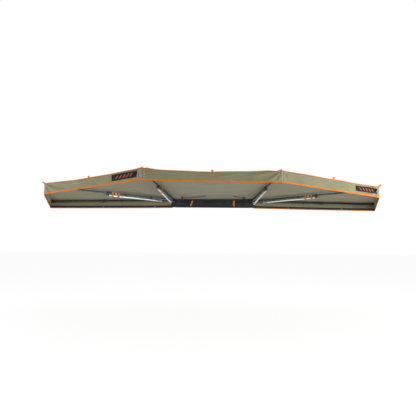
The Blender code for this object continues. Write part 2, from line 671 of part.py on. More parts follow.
def canopy_panel(name, rows, hang):
    """A panel from rows of points, with a valance hung from the edges that hang picks, given thickness."""
    shape = bmesh.new()
    grid = [[shape.verts.new(point) for point in row] for row in rows]
    for row, after in zip(grid, grid[1:]):
        for index in range(len(row) - 1):
            shape.faces.new((row[index], row[index + 1], after[index + 1], after[index]))
    shape.normal_update()
    if sum(face.normal.z for face in shape.faces) < 0:
        bmesh.ops.reverse_faces(shape, faces=shape.faces)
    edges = []
    if "last_row" in hang:
        edges += [shape.edges.get(pair) for pair in zip(grid[-1], grid[-1][1:])]
    if "first_column" in hang:
        column = [row[0] for row in grid]
        edges += [shape.edges.get(pair) for pair in zip(column, column[1:])]
    grown = bmesh.ops.extrude_edge_only(shape, edges=edges)["geom"]
    hem = [item for item in grown if isinstance(item, bmesh.types.BMVert)]
    bmesh.ops.translate(shape, verts=hem, vec=(0, 0, -VALANCE))
    mesh = bpy.data.meshes.new(name)
    shape.to_mesh(mesh)
    shape.free()
    panel = place(name, mesh, "canopy_khaki")
    thickness = panel.modifiers.new("fabric", "SOLIDIFY")
    thickness.thickness = CANOPY_THICKNESS
    thickness.offset = -1.0
    thickness.use_even_offset = True


def between(one, other, steps):
    """Points on the straight line from one point to another, both ends included."""
    return [one.lerp(other, index / steps) for index in range(steps + 1)]


def canopy(along=4, across=4):
    """The centre panel and, on each side, one panel before and one behind the middle arm."""
    edge = TIP_REACH + CANOPY_EDGE
    reaches = [CANOPY_START + (edge - CANOPY_START) * index / along for index in range(along + 1)]
    inner = [reaches[0] + 2 * SEAM_GAP] + reaches[1:]
    borders = {}
    for side in (-1, 1):
        corner = rail_corner(side)
        border = [corner, seam_point(side, "middle", CANOPY_START)]
        border += [seam_point(side, "front", reach) for reach in reaches]
        borders[side] = [point - Vector((side * SEAM_GAP, 0, 0)) for point in border]
    rows = [between(left, right, 2 * across) for left, right in zip(borders[-1], borders[1])]
    canopy_panel("canopy_centre", rows, ("last_row",))
    for side_name, side in (("left", -1), ("right", 1)):
        rows = []
        for reach in inner:
            front = seam_point(side, "front", reach, -SEAM_GAP)
            rows.append(between(front, seam_point(side, "middle", reach, SEAM_GAP), across))
        canopy_panel(f"{side_name}_front_canopy", rows, ("last_row",))
        corner = rail_corner(side) + Vector((side * SEAM_GAP, 0, 0))
        rear_end, middle_end = seam_point(side, "rear", edge), seam_point(side, "middle", edge)
        past = REAR_VALANCE_SPACE / (rear_end.y - middle_end.y)
        far_corner = rear_end + (rear_end - middle_end) * past
        rear_edge = between(corner, far_corner, along)
        rows = []
        for rear, reach in zip(rear_edge, inner):
            rows.append(between(rear, seam_point(side, "middle", reach, -SEAM_GAP), across))
        canopy_panel(f"{side_name}_rear_canopy", rows, ("last_row", "first_column"))


for leftover in list(bpy.data.objects):
    bpy.data.objects.remove(leftover)
back_rail()
canopy_rail()
travel_cover()
strap_face = -RAIL_DEPTH - RIDGE_DEPTH - GAP
strap_mesh = case_strap_mesh()
pin_mesh = hub_pin_mesh()
for side_name, side in (("left", -1), ("right", 1)):
    hub_bracket(f"{side_name}_hub_bracket", side)
    place(f"{side_name}_hub_pin", pin_mesh, "pin_steel", None, (side * HUB_X, hub_y(side), HUB_LEVEL))
    place(f"{side_name}_case_strap", strap_mesh, "strap_orange", None, (side * CASE_STRAP_X, strap_face, 0))
    for arm_name, direction, rise in ARMS:
        arm(side_name, side, arm_name, direction, rise)
canopy()
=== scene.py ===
import json
import math

import bmesh
import bpy
import numpy as np
from mathutils import Matrix, Vector

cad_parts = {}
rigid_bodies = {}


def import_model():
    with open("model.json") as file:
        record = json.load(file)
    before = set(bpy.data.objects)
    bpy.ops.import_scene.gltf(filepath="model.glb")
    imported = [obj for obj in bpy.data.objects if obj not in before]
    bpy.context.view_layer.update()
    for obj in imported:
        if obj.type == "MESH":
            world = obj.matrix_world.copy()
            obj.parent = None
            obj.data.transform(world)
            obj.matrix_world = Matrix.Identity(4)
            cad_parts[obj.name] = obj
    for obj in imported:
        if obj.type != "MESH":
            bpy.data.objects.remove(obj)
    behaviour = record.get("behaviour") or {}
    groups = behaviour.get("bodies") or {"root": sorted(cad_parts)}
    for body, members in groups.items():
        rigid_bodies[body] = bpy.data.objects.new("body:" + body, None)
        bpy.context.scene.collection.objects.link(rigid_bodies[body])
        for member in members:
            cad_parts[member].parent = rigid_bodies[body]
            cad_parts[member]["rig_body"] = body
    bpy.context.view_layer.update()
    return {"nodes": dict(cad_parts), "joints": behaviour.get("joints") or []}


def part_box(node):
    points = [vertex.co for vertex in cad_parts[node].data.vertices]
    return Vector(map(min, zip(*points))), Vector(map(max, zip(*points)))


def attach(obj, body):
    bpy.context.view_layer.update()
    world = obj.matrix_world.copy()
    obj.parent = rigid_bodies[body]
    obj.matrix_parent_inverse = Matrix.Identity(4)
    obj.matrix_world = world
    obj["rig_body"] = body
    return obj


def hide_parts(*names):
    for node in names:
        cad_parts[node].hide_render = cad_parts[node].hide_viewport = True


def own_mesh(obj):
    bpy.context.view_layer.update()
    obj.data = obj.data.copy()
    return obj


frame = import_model()

# The studio: the camera stands 4.7 m in front of the open awning, at chest height, looking a little up at its
# underside. Softboxes stand low at both sides and a weak one hangs above. The pale floor lies where drawn-out
# legs reach, and glows. What the camera sees of it is four parts white and one part its own shade and shadow.
FLOOR_LEVEL = -1.92
FLOOR_HALF = 60.0
FLOOR_GLOW = 0.20
WHITE_GLOW, WHITE_SHARE = 1.07, 0.8
SKY_LIGHT, SKY_SEEN = 0.34, 1.0
EYE = (0.0413, -7.1798, -0.8133)
EYE_YAW, EYE_PITCH, EYE_ROLL = 0.0186, 0.1022, 0.0088
EYE_LENS = 32.77
AIM = (0.0, -1.2, 0.0)
SOFTBOXES = (
    ("key_right", (8.4, -3.9, -0.6), (3.5, 2.4), 630.0),
    ("fill_left", (-8.4, -4.3, -0.6), (3.5, 2.4), 290.0),
    ("overhead", (0.0, -1.5, 5.0), (5.0, 4.0), 110.0),
)


def linear(code):
    """An sRGB hex colour as the linear RGBA that a shader takes: a 2.4 power above a short straight foot."""
    values = np.array([int(code[place:place + 2], 16) for place in (1, 3, 5)]) / 255.0
    values = np.where(values <= 0.04045, values / 12.92, ((values + 0.055) / 1.055) ** 2.4)
    return (*values.tolist(), 1.0)


def connect(tree, socket, value):
    """Feeds a socket from an output or a node's first one, or sets it to a value or an sRGB hex colour."""
    if isinstance(value, bpy.types.Node):
        value = value.outputs[0]
    if isinstance(value, bpy.types.NodeSocket):
        tree.links.new(value, socket)
    else:
        socket.default_value = linear(value) if isinstance(value, str) else value


def node(tree, kind, sockets, **settings):
    """A node of this kind. sockets maps an input's name or number to what connect takes."""
    made = tree.nodes.new("ShaderNode" + kind)
    for key, value in settings.items():
        setattr(made, key, value)
    for key, value in sockets.items():
        connect(tree, made.inputs[key], value)
    return made


def finished(made, **sockets):
    """The material, its Principled shader's sockets connected. An underscore stands for a space in a name."""
    for key, value in sockets.items():
        shader = made.node_tree.nodes["Principled BSDF"]
        connect(made.node_tree, shader.inputs[key.replace("_", " ")], value)
    return made


def seen_directly(tree):
    """1 for rays from the camera, a reflection or a clear surface, and 0 for the rays that carry light."""
    rays = node(tree, "LightPath", {}).outputs
    either = node(tree, "Math", {0: rays["Is Camera Ray"], 1: rays["Is Glossy Ray"]}, operation="MAXIMUM")
    return node(tree, "Math", {0: either, 1: rays["Is Transmission Ray"]}, operation="MAXIMUM")


def placed(name, data):
    """A new object with this data, in the scene."""
    made = bpy.data.objects.new(name, data)
    bpy.context.scene.collection.objects.link(made)
    return made


camera = placed("camera", bpy.data.cameras.new("camera"))
camera.data.lens = EYE_LENS
turn = Matrix.Rotation(EYE_YAW, 4, "Z") @ Matrix.Rotation(math.pi / 2 + EYE_PITCH, 4, "X")
camera.matrix_world = Matrix.Translation(EYE) @ turn @ Matrix.Rotation(EYE_ROLL, 4, "Z")
bpy.context.scene.camera = camera
bpy.context.scene.view_settings.view_transform = "Standard"

sky = bpy.data.worlds.new("studio_sky")
sky.use_nodes = True
bpy.context.scene.world = sky
tree = sky.node_tree
connect(tree, tree.nodes["Background"].inputs["Color"], "#ffffff")
seen = seen_directly(tree)
sky_strength = node(tree, "MapRange", {"Value": seen, "To Min": SKY_LIGHT, "To Max": SKY_SEEN})
connect(tree, tree.nodes["Background"].inputs["Strength"], sky_strength)

floor_mesh = bpy.data.meshes.new("floor")
corners = [(x * FLOOR_HALF, y * FLOOR_HALF, FLOOR_LEVEL) for x, y in ((-1, -1), (1, -1), (1, 1), (-1, 1))]
floor_mesh.from_pydata(corners, [], [(0, 1, 2, 3)])
placed("floor", floor_mesh)
floor_paint = bpy.data.materials.new("pale_floor_paint")
floor_paint.use_nodes = True
finished(floor_paint, Base_Color="#ececec", Roughness=0.9, Emission_Color="#ffffff",
         Emission_Strength=FLOOR_GLOW)
tree = floor_paint.node_tree
glow = node(tree, "Emission", {"Color": "#ffffff", "Strength": WHITE_GLOW})
lift = node(tree, "Math", {0: seen_directly(tree), 1: WHITE_SHARE}, operation="MULTIPLY")
mixed = node(tree, "MixShader", {0: lift, 1: tree.nodes["Principled BSDF"], 2: glow})
connect(tree, tree.nodes["Material Output"].inputs["Surface"], mixed)
floor_mesh.materials.append(floor_paint)

for name, place, size, power in SOFTBOXES:
    lamp = bpy.data.lights.new(name, "AREA")
    lamp.shape = "RECTANGLE"
    lamp.size, lamp.size_y = size
    lamp.energy = power
    holder = placed(name, lamp)
    holder.location = place
    holder.rotation_euler = (Vector(AIM) - Vector(place)).to_track_quat("-Z", "Y").to_euler()

# The back rail: an aluminium extrusion, powder coated black, bolted to the roof rack. The coat is sprayed and
# baked, which leaves a fine orange peel that breaks up its reflections. A second extrusion along the top edge
# is the track for the canopy's corded edge. Moulded caps close the rail's sawn ends.
CAP_THICKNESS = 0.0025
CAP_INSET = 0.0006
X_AXIS, Y_AXIS, Z_AXIS = np.eye(3)
SIDES = (("left", -1.0), ("right", 1.0))


def material(name, place="Object"):
    """A new Principled material, its node tree, and the coordinates that its patterns are drawn in."""
    made = bpy.data.materials.new(name)
    made.use_nodes = True
    return made, made.node_tree, node(made.node_tree, "TexCoord", {}).outputs[place]


def mottled(tree, place, size, low, high, first, second):
    """Two colours mixed by noise with patches of this size in metres. Also gives the share of the second."""
    noise = node(tree, "TexNoise", {"Vector": place, "Scale": 1 / size, "Detail": 5.0, "Roughness": 0.6})
    share = node(tree, "MapRange", {"Value": noise, "From Min": low, "From Max": high})
    return node(tree, "MixRGB", {0: share, 1: first, 2: second}), share


def powder_coat(name, colour, dusty):
    """Baked powder on metal: peel about 1.5 mm across in the bump, and dust that pales it in soft patches."""
    made, tree, place = material(name)
    peel = node(tree, "TexNoise", {"Vector": place, "Scale": 1 / 0.0015, "Detail": 1.0})
    raised = node(tree, "Bump", {"Strength": 0.25, "Distance": 0.0002, "Height": peel})
    shade, dust = mottled(tree, place, 0.09, 0.42, 0.75, colour, dusty)
    gloss = node(tree, "MapRange", {"Value": dust, "To Min": 0.36, "To Max": 0.6})
    return finished(made, Base_Color=shade, Roughness=gloss, Normal=raised)


def moulded(name, colour, worn, grain=0.0009):
    """Moulded nylon or rubber, with a spark-eroded grain of this size and paler scuffs on its high spots."""
    made, tree, place = material(name)
    pits = node(tree, "TexVoronoi", {"Vector": place, "Scale": 1 / grain}, feature="SMOOTH_F1")
    raised = node(tree, "Bump", {"Strength": 0.3, "Distance": 0.0002, "Height": pits})
    shade, scuffed = mottled(tree, place, 0.018, 0.5, 0.85, colour, worn)
    gloss = node(tree, "MapRange", {"Value": scuffed, "To Min": 0.5, "To Max": 0.68})
    return finished(made, Base_Color=shade, Roughness=gloss, Normal=raised)


def shown(mesh, finish, body, slot, *stands_for):
    """A piece with this mesh and its name. It rides on a body, takes this finish and replaces CAD nodes. The
    slot is not used.
    """
    for coat in [finish] if isinstance(finish, bpy.types.Material) else finish:
        mesh.materials.append(coat)
    made = placed(mesh.name, mesh)
    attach(made, body)
    if stands_for:
        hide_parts(*stands_for)
    return made


def round_edges(made, width):
    """Rounds the piece's sharp edges by a width in metres."""
    edges = made.modifiers.new("rounded_edges", "BEVEL")
    edges.width = width
    edges.segments = 2
    return edges


def softened(source, name, finish, slot, width):
    """A copy of a CAD solid whose sharp edges are rounded by a width in metres. It stands for the solid."""
    work = bmesh.new()
    work.from_mesh(frame["nodes"][source].data)
    bmesh.ops.remove_doubles(work, verts=work.verts, dist=0.00001)
    bmesh.ops.dissolve_limit(work, angle_limit=math.radians(0.5), verts=work.verts, edges=work.edges)
    mesh = bpy.data.meshes.new(name)
    work.to_mesh(mesh)
    work.free()
    mesh.shade_smooth()
    mesh.set_sharp_from_angle(angle=math.radians(32))
    made = shown(mesh, finish, frame["nodes"][source]["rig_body"], slot, source)
    edges = round_edges(made, width)
    edges.limit_method = "ANGLE"
    edges.angle_limit = math.radians(32)


def quads(rows, columns, round_rows=False, round_columns=False):
    """Corner numbers of the faces of a grid of points. A round direction joins its last line to its first."""
    row = np.arange(rows if round_rows else rows - 1)[:, None]
    column = np.arange(columns if round_columns else columns - 1)[None, :]
    row, column = np.broadcast_arrays(row, column)
    next_row, next_column = (row + 1) % rows, (column + 1) % columns
    corners = [(row, column), (row, next_column), (next_row, next_column), (next_row, column)]
    return np.stack([r * columns + c for r, c in corners], axis=-1).reshape(-1, 4)


def solid(name, points, faces, marks, sharp=35.0):
    """A closed mesh with outward faces and a UV map: marks holds two lengths in metres per face corner."""
    mesh = bpy.data.meshes.new(name)
    mesh.from_pydata(points.reshape(-1, 3).tolist(), [], faces)
    layer = mesh.uv_layers.new(name="metres")
    layer.data.foreach_set("uv", marks.ravel())
    work = bmesh.new()
    work.from_mesh(mesh)
    if work.calc_volume(signed=True) < 0:
        bmesh.ops.reverse_faces(work, faces=work.faces)
    work.to_mesh(mesh)
    work.free()
    mesh.shade_smooth()
    mesh.set_sharp_from_angle(angle=math.radians(sharp))
    return mesh


def end_faces(rows, columns):
    """The two faces that close a grid of points whose columns run round."""
    last = (rows - 1) * columns
    return [list(range(columns))[::-1], list(range(last, last + columns))]


def lengths_along(points):
    """How far along a line of points each one is, in metres."""
    return np.append(0.0, np.cumsum(np.linalg.norm(np.diff(points, axis=0), axis=1)))


def carried(name, path, side, up, profile, round_path=False, sharp=35.0):
    """A closed profile of (across, out) points carried along a path: path + across * side + out * up.

    The UV map runs along the path and round the profile, in metres.
    """
    path, profile = np.asarray(path, float), np.asarray(profile, float)
    side, up = np.broadcast_to(side, path.shape), np.broadcast_to(up, path.shape)
    rings = path[:, None] + profile[None, :, :1] * side[:, None] + profile[None, :, 1:] * up[:, None]
    rows, columns = rings.shape[:2]
    along = lengths_along(np.vstack([path, path[:1]]))
    round_it = lengths_along(np.vstack([profile, profile[:1]]))
    faces = quads(rows, columns, round_path, True)
    row, column = faces[:, 0] // columns, faces[:, 0] % columns
    corners = ((row, column), (row, column + 1), (row + 1, column + 1), (row + 1, column))
    marks = np.stack([np.stack([along[r], round_it[c]], axis=-1) for r, c in corners], axis=1).reshape(-1, 2)
    faces = faces.tolist()
    if not round_path:
        faces += end_faces(rows, columns)
        marks = np.vstack([marks, profile[::-1], profile])
    return solid(name, rings, faces, marks, sharp)


def rounded(half_width, half_height, radius, steps=4):
    """A rectangle about the origin with round corners, as a closed profile."""
    angle = np.linspace(0, math.pi / 2, steps + 1)
    points = []
    for quarter, (x, y) in enumerate(((1, 1), (-1, 1), (-1, -1), (1, -1))):
        turn = angle + quarter * math.pi / 2
        centre = np.array([x * (half_width - radius), y * (half_height - radius)])
        points.append(centre + radius * np.stack([np.cos(turn), np.sin(turn)], axis=-1))
    return np.concatenate(points)


def box(node_name):
    """The lowest and highest corner of a CAD node."""
    return (np.array(corner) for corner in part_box(node_name))


rail_low, rail_high = box("back_rail")
rail_coat = powder_coat("black_powder_coat_on_aluminium", "#181c1f", "#2a2e30")
softened("back_rail", "back_rail_extrusion", rail_coat, "rail_black", 0.0006)
softened("canopy_rail", "canopy_track_extrusion", rail_coat, "rail_black", 0.0003)
nylon = moulded("black_glass_filled_nylon", "#1c1f20", "#33383a")
rail_centre = (rail_low + rail_high) / 2
cap_half = (rail_high - rail_low)[1:] / 2 - CAP_INSET
for word, end in (("left", rail_low[0]), ("right", rail_high[0])):
    depths = np.array([0.0, 0.7, 1.0]) * math.copysign(CAP_THICKNESS, end)
    path = [(end + depth, *rail_centre[1:]) for depth in depths]
    cap = carried(f"{word}_rail_end_cap", path, Y_AXIS, Z_AXIS, rounded(*cap_half, 0.003))
    shown(cap, nylon, "rail", "casting_black")

# The travel cover: a sleeve of coated black cloth that zips over the folded awning on the road. With the
# awning open it is rolled up tight along the rail's foot, and the turns of its roll show at each end. Two
# tails of orange webbing, woven nylon folded back and sewn at the foot, come down the rail's face to hold it.
COVER_CLOTH = 0.0009
COVER_TURNS = 4.6
COVER_CORE = 0.0028
COVER_SQUARE = 3.2
STRAP_CLOTH = 0.0014
STRAP_WIDTH = 0.030
STRAP_X = {"left": -0.40, "right": 0.40}
STRAP_LEAN = {"left": (0.012, -0.023), "right": (0.002, -0.004)}
STRAP_POINTS, FOLD_POINTS = 40, 10


def unit(vectors):
    """The same directions, one metre long."""
    return vectors / np.linalg.norm(vectors, axis=-1, keepdims=True)


def rim_of(grid):
    """The outermost entries of a grid, once round."""
    return np.concatenate([grid[0], grid[1:, -1], grid[-1, -2::-1], grid[-2:0:-1, 0]])


def cloth(name, grid, marks, thickness, facing):
    """A closed shell of cloth. Its outer face is the grid of points, turned the way that facing points, and
    its inner face lies one thickness behind it along the grid's normals. marks is the UV map, in metres."""
    normal = unit(np.cross(np.gradient(grid, axis=0), np.gradient(grid, axis=1)))
    normal = normal * math.copysign(1.0, (normal * facing).sum())
    rows, columns = grid.shape[:2]
    count = rows * columns
    rim = rim_of(np.arange(count).reshape(rows, columns))
    after = np.roll(rim, -1)
    outer = quads(rows, columns)
    walls = np.stack([after, rim, rim + count, after + count], axis=-1)
    faces = np.concatenate([outer, outer[:, ::-1] + count, walls])
    mesh = solid(name, np.stack([grid, grid - thickness * normal]), faces.tolist(),
                 marks.reshape(-1, 2)[faces.ravel() % count], 55.0)
    mesh.polygons.foreach_set("material_index", (np.arange(len(faces)) >= len(outer)).astype(int))
    return mesh


def coated_cloth(name, colour, faded, cell, patch, gloss):
    """Coated polyester: a fine weave, here drawn 1.2 mm a thread so that it shows, and a ripstop cord each
    cell metres both ways. The coat evens out its gloss, and sun and dust fade it in broad patches."""
    made, tree, metres = material(name, "UV")
    cords, threads = [], []
    for way in ("X", "Y"):
        for lines, size, power in ((cords, cell, 14.0), (threads, 0.0012, 1.0)):
            scale = math.pi / 10 / size
            bands = node(tree, "TexWave", {"Vector": metres, "Scale": scale}, bands_direction=way)
            lines.append(node(tree, "Math", {0: bands.outputs["Fac"], 1: power}, operation="POWER"))
    cord = node(tree, "Math", dict(enumerate(cords)), operation="MAXIMUM")
    thread = node(tree, "Math", dict(enumerate(threads)), operation="MULTIPLY")
    relief = node(tree, "Math", {0: thread, 1: 0.35, 2: cord}, operation="MULTIPLY_ADD")
    raised = node(tree, "Bump", {"Strength": 0.35, "Distance": 0.0002, "Height": relief})
    shade, _ = mottled(tree, metres, patch, 0.35, 0.75, colour, faded)
    darker = node(tree, "HueSaturation", {"Color": shade, "Value": 0.9})
    shade = node(tree, "MixRGB", {0: cord, 1: shade, 2: darker})
    return finished(made, Base_Color=shade, Normal=raised, Roughness=gloss, Specular_IOR_Level=0.25,
                    Sheen_Weight=0.04)


def webbing(name, colour, soiled, half_width, thread):
    """Woven webbing: ribs across it, drawn 1.8 mm apart so that they show, soiling in patches, and a row of
    stitches 3 mm in from each edge. Its UV map runs along it and round it, and folds at half_width."""
    made, tree, metres = material(name, "UV")
    rib = node(tree, "TexWave", {"Vector": metres, "Scale": math.pi / 10 / 0.0018}, bands_direction="X")
    along, across, _ = node(tree, "SeparateXYZ", {"Vector": metres}).outputs
    edge = node(tree, "Math", {0: across, 1: half_width}, operation="PINGPONG")
    on_line = node(tree, "Math", {0: edge, 1: 0.003, 2: 0.0006}, operation="COMPARE")
    step = node(tree, "Math", {0: along, 1: 1 / 0.0045}, operation="MULTIPLY")
    step = node(tree, "Math", {0: step}, operation="FRACT")
    step = node(tree, "Math", {0: step, 1: 0.62}, operation="LESS_THAN")
    stitch = node(tree, "Math", {0: on_line, 1: step}, operation="MULTIPLY")
    relief = node(tree, "Math", {0: stitch, 1: 1.5, 2: rib.outputs["Fac"]}, operation="MULTIPLY_ADD")
    raised = node(tree, "Bump", {"Strength": 0.5, "Distance": 0.0003, "Height": relief})
    shade, _ = mottled(tree, metres, 0.06, 0.4, 0.8, colour, soiled)
    shade = node(tree, "MixRGB", {0: stitch, 1: shade, 2: thread})
    return finished(made, Base_Color=shade, Normal=raised, Roughness=0.78, Specular_IOR_Level=0.25,
                    Sheen_Weight=0.05)


def strip(width, thickness):
    """The profile of a flat strip: centred across, resting on the path, its corners eased off."""
    x, cut = width / 2, thickness / 4
    half = [(x - cut, 0.0), (x, cut), (x, thickness - cut), (x - cut, thickness)]
    return half + [(-across, out) for across, out in reversed(half)]


def rolled(low, high):
    """The outer face of a roll of cloth in a box: rows of points along it, each row a spiral.

    The radius grows evenly with the angle, from the core to the box, and so does the share of a squarish
    outline in place of a circle. Waves along the roll and the pinch of the straps draw it in, by the square
    of that growth.
    """
    centre, half = (low + high) / 2, (high - low)[2] / 2 - 0.0004
    angle = np.linspace(0.0, 2 * math.pi * COVER_TURNS, 190)
    square = np.abs(np.cos(angle)) ** COVER_SQUARE + np.abs(np.sin(angle)) ** COVER_SQUARE
    square = square ** (-1 / COVER_SQUARE)
    grown = angle / angle[-1]
    radius = (COVER_CORE + (half - COVER_CORE) * grown) * (1 + (square - 1) * grown)
    along = np.linspace(low[0], high[0], 150)[:, None]
    pinch = sum(np.exp(-((along - x) / 0.02) ** 2) for x in STRAP_X.values())
    waves = 1 + np.sin(along / 0.047 + 2.0 * np.sin(along / 0.13))
    radius = radius * (1 - 0.035 * waves * grown ** 2) * (1 - 0.05 * pinch * grown ** 2)
    turn = angle + 0.10 * np.sin(along / 0.21)
    forward, upward = (np.clip(radius * way(turn), -half, half) for way in (np.cos, np.sin))
    return np.stack(np.broadcast_arrays(along, centre[1] + forward, centre[2] + upward), axis=-1)


cover_cloth = coated_cloth("black_coated_cover_cloth", "#1b1e20", "#2c3033", 0.004, 0.12, 0.55)
cover_low, cover_high = box("travel_cover")
roll_grid = rolled(cover_low, cover_high)
spiral = lengths_along(roll_grid[0])
marks = np.stack(np.broadcast_arrays(spiral, roll_grid[..., 0]), axis=-1)
roll = cloth("travel_cover_roll", roll_grid, marks, COVER_CLOTH, roll_grid - (cover_low + cover_high) / 2)
cover_roll = shown(roll, (cover_cloth, cover_cloth), "rail", "cover_black", "travel_cover")

orange_webbing = webbing("orange_woven_webbing", "#e08122", "#bb6926", 0.0314, "#e9a468")
strap_section = strip(STRAP_WIDTH, STRAP_CLOTH)
for word, x in STRAP_X.items():
    low, high = box(f"{word}_case_strap")
    level = np.linspace(high[2], low[2] + 0.001, STRAP_POINTS)
    share = np.linspace(0, 1, STRAP_POINTS)
    lean = np.linspace(*STRAP_LEAN[word], STRAP_POINTS)
    bow = 0.0010 * np.sin(math.pi * share) + 0.0006 * np.sin(9 * share)
    path = np.stack([x + lean, high[1] - 0.0001 - np.abs(bow), level], axis=-1)
    tail = carried(f"{word}_case_webbing", path, X_AXIS, -Y_AXIS, strap_section)
    tail = shown(tail, orange_webbing, "rail", "strap_orange", f"{word}_case_strap")
    fold = path[-FOLD_POINTS:] - [0, STRAP_CLOTH, 0]
    fold = carried(f"{word}_case_webbing_fold", fold, X_AXIS, -Y_AXIS, strap_section)
    fold = shown(fold, orange_webbing, "rail", "strap_orange")

# The hubs: a welded steel bracket at each end, powder coated black, with a flange bolted to the rail and two
# plates that hold the hub pin. The left one is deeper. The pins and the bolts are zinc plated steel.
RAIL_FACE = -0.0173
FLANGE_THICKNESS = 0.006
BOLT_PLACES = ((0.650, 0.030), (0.650, -0.0475), (0.690, 0.030), (0.690, -0.0475))
WASHER_PROFILE = ((0.0095, 0.0), (0.0095, 0.0014), (0.0088, 0.0017), (0.0075, 0.0017))
BOLT_PROFILE = ((0.0062, 0.0017), (0.0066, 0.0024), (0.0066, 0.0062), (0.0058, 0.0072), (0.001, 0.0072))
PIN_RADIUS = 0.008
PIN_HEAD = 0.003


def lathe(name, base, way, profile, steps=32, flats=0):
    """A solid turned about an axis from (radius, level) pairs. flats makes a hexagon or so as wide."""
    base, way = np.asarray(base, float), unit(np.asarray(way, float))
    side = unit(np.cross(way, X_AXIS if abs(way[0]) < 0.9 else Y_AXIS))
    angle = np.linspace(0, 2 * math.pi, steps, endpoint=False)
    reach = np.ones(steps)
    if flats:
        reach = 1 / np.cos((angle + math.pi / flats) % (2 * math.pi / flats) - math.pi / flats)
    radius, level = np.array(profile, float).T
    round_it = np.cos(angle)[:, None] * side + np.sin(angle)[:, None] * np.cross(way, side)
    rings = base + level[:, None, None] * way + (radius[:, None] * reach)[:, :, None] * round_it
    faces = quads(len(level), steps, False, True)
    marks = np.stack([faces % steps * 0.001, level[faces // steps]], axis=-1).reshape(-1, 2)
    marks = np.vstack([marks, np.zeros((2 * steps, 2))])
    return solid(name, rings, faces.tolist() + end_faces(len(level), steps), marks)


def zinc_plate(name, colour, dull):
    """Zinc plate on steel: bright, faintly blue, clouded in grains about 4 mm across."""
    made, tree, place = material(name)
    grain = node(tree, "TexVoronoi", {"Vector": place, "Scale": 1 / 0.004})
    raised = node(tree, "Bump", {"Strength": 0.08, "Distance": 0.0002, "Height": grain})
    shade, clouded = mottled(tree, place, 0.012, 0.35, 0.7, colour, dull)
    gloss = node(tree, "MapRange", {"Value": clouded, "To Min": 0.28, "To Max": 0.5})
    return finished(made, Base_Color=shade, Metallic=1.0, Roughness=gloss, Normal=raised)


bracket_coat = powder_coat("black_powder_coat_on_steel", "#232829", "#3b4040")
zinc = zinc_plate("zinc_plated_steel", "#c4c9cc", "#8f9496")
black_zinc = zinc_plate("black_zinc_plated_steel", "#4a4e50", "#2e3133")
for word, sign in SIDES:
    softened(f"{word}_hub_bracket", f"{word}_hub_weldment", bracket_coat, "bracket_black", 0.0008)
    low, high = box(f"{word}_hub_pin")
    half, head = (high[2] - low[2]) / 2, (high[0] - low[0]) / 2
    shank = half - PIN_HEAD
    below = [(head * 0.72, -half), (head, -half + 0.0008), (head, -shank), (PIN_RADIUS, -shank)]
    above = [(PIN_RADIUS, shank), (head, shank), (head, half - 0.0012), (head * 0.8, half)]
    pin = lathe(f"{word}_hub_clevis_pin", (low + high) / 2, Z_AXIS, below + above + [(head * 0.3, half)])
    shown(pin, zinc, "rail", "pin_steel", f"{word}_hub_pin")
    _, strap_high = box(f"{word}_case_strap")
    flange_face = min(strap_high[1], RAIL_FACE) - FLANGE_THICKNESS
    for number, (x, z) in enumerate(BOLT_PLACES, 1):
        base = (sign * x, flange_face, z)
        for kind, profile, flats in (("washer", WASHER_PROFILE, 0), ("bolt", BOLT_PROFILE, 6)):
            turned = lathe(f"{word}_rail_{kind}_{number}", base, -Y_AXIS, profile, 24, flats)
            shown(turned, black_zinc, "rail", "pin_steel")

# The six arms: square tubes of drawn aluminium, anodised dark, with an inner tube of the same finish sliding
# in each. Drawing leaves fine lines along a tube, which stretch its reflections. Each arm turns on its hub's
# pin by a cranked tang. The clamps, levers and tips are moulded nylon.
DRAWN_LINES = (2.5, 1000.0, 1000.0)
ROWS = ("rear", "middle", "front")
joints = {joint["name"]: joint for joint in frame["joints"]}


def reaches(node_name, start, way):
    """How far each corner of a CAD node lies from a start in one direction."""
    corners = frame["nodes"][node_name].data.vertices
    return np.array([(corner.co - Vector(start)).dot(Vector(way)) for corner in corners])


def arm_line(word, row, sign):
    """An arm's line at its hub: its start beside the pin, and unit vectors along it, back from it and up."""
    along = -np.array(joints[f"{word}_{row}_slide"]["axis"])
    pin = np.array(joints[f"{word}_fold" if row == "front" else f"{word}_{row}_fold"]["pos_m"])
    back = unit(sign * np.cross(Z_AXIS, along))
    across = reaches(f"{word}_{row}_extension", (0, 0, 0), back)
    lane = (across.min() + across.max()) / 2 - pin @ back
    return pin + lane * back, along, back, sign * np.cross(along, back)


def anodised(name, line, colour, worn, gloss):
    """Drawn and anodised aluminium. The drawing lines are about 1 mm apart and 0.4 m long, along the tube."""
    start, *axes = line
    made, tree, place = material(name)
    turn = Matrix(np.stack(axes, axis=-1).tolist()).to_euler()
    own = node(tree, "Mapping", {"Vector": place, "Location": start, "Rotation": turn}, vector_type="TEXTURE")
    drawn = node(tree, "Mapping", {"Vector": own, "Scale": DRAWN_LINES})
    lines = node(tree, "TexNoise", {"Vector": drawn, "Scale": 1.0, "Detail": 2.0})
    raised = node(tree, "Bump", {"Strength": 0.12, "Distance": 0.0002, "Height": lines})
    shade, _ = mottled(tree, own, 0.07, 0.45, 0.8, colour, worn)
    rough = node(tree, "MapRange", {"Value": lines, "To Min": gloss - 0.1, "To Max": gloss + 0.12})
    return finished(made, Base_Color=shade, Metallic=0.85, Roughness=rough, Normal=raised)


lines = {(word, row): arm_line(word, row, sign) for word, sign in SIDES for row in ROWS}
for (word, row), line in lines.items():
    dark = anodised(f"dark_anodised_tube_{word}_{row}", line, "#3c4244", "#545b5d", 0.42)
    for part, piece, finish, slot, width in (
        ("arm", "arm_tube", dark, "arm_charcoal", 0.0004),
        ("extension", "arm_inner_tube", dark, "arm_charcoal", 0.0003),
        ("clamp", "arm_clamp", nylon, "casting_black", 0.0007),
        ("clamp_lever", "arm_clamp_lever", nylon, "casting_black", 0.0004),
        ("tip", "arm_end_cap", nylon, "casting_black", 0.0006),
    ):
        softened(f"{word}_{row}_{part}", f"{word}_{row}_{piece}", finish, slot, width)

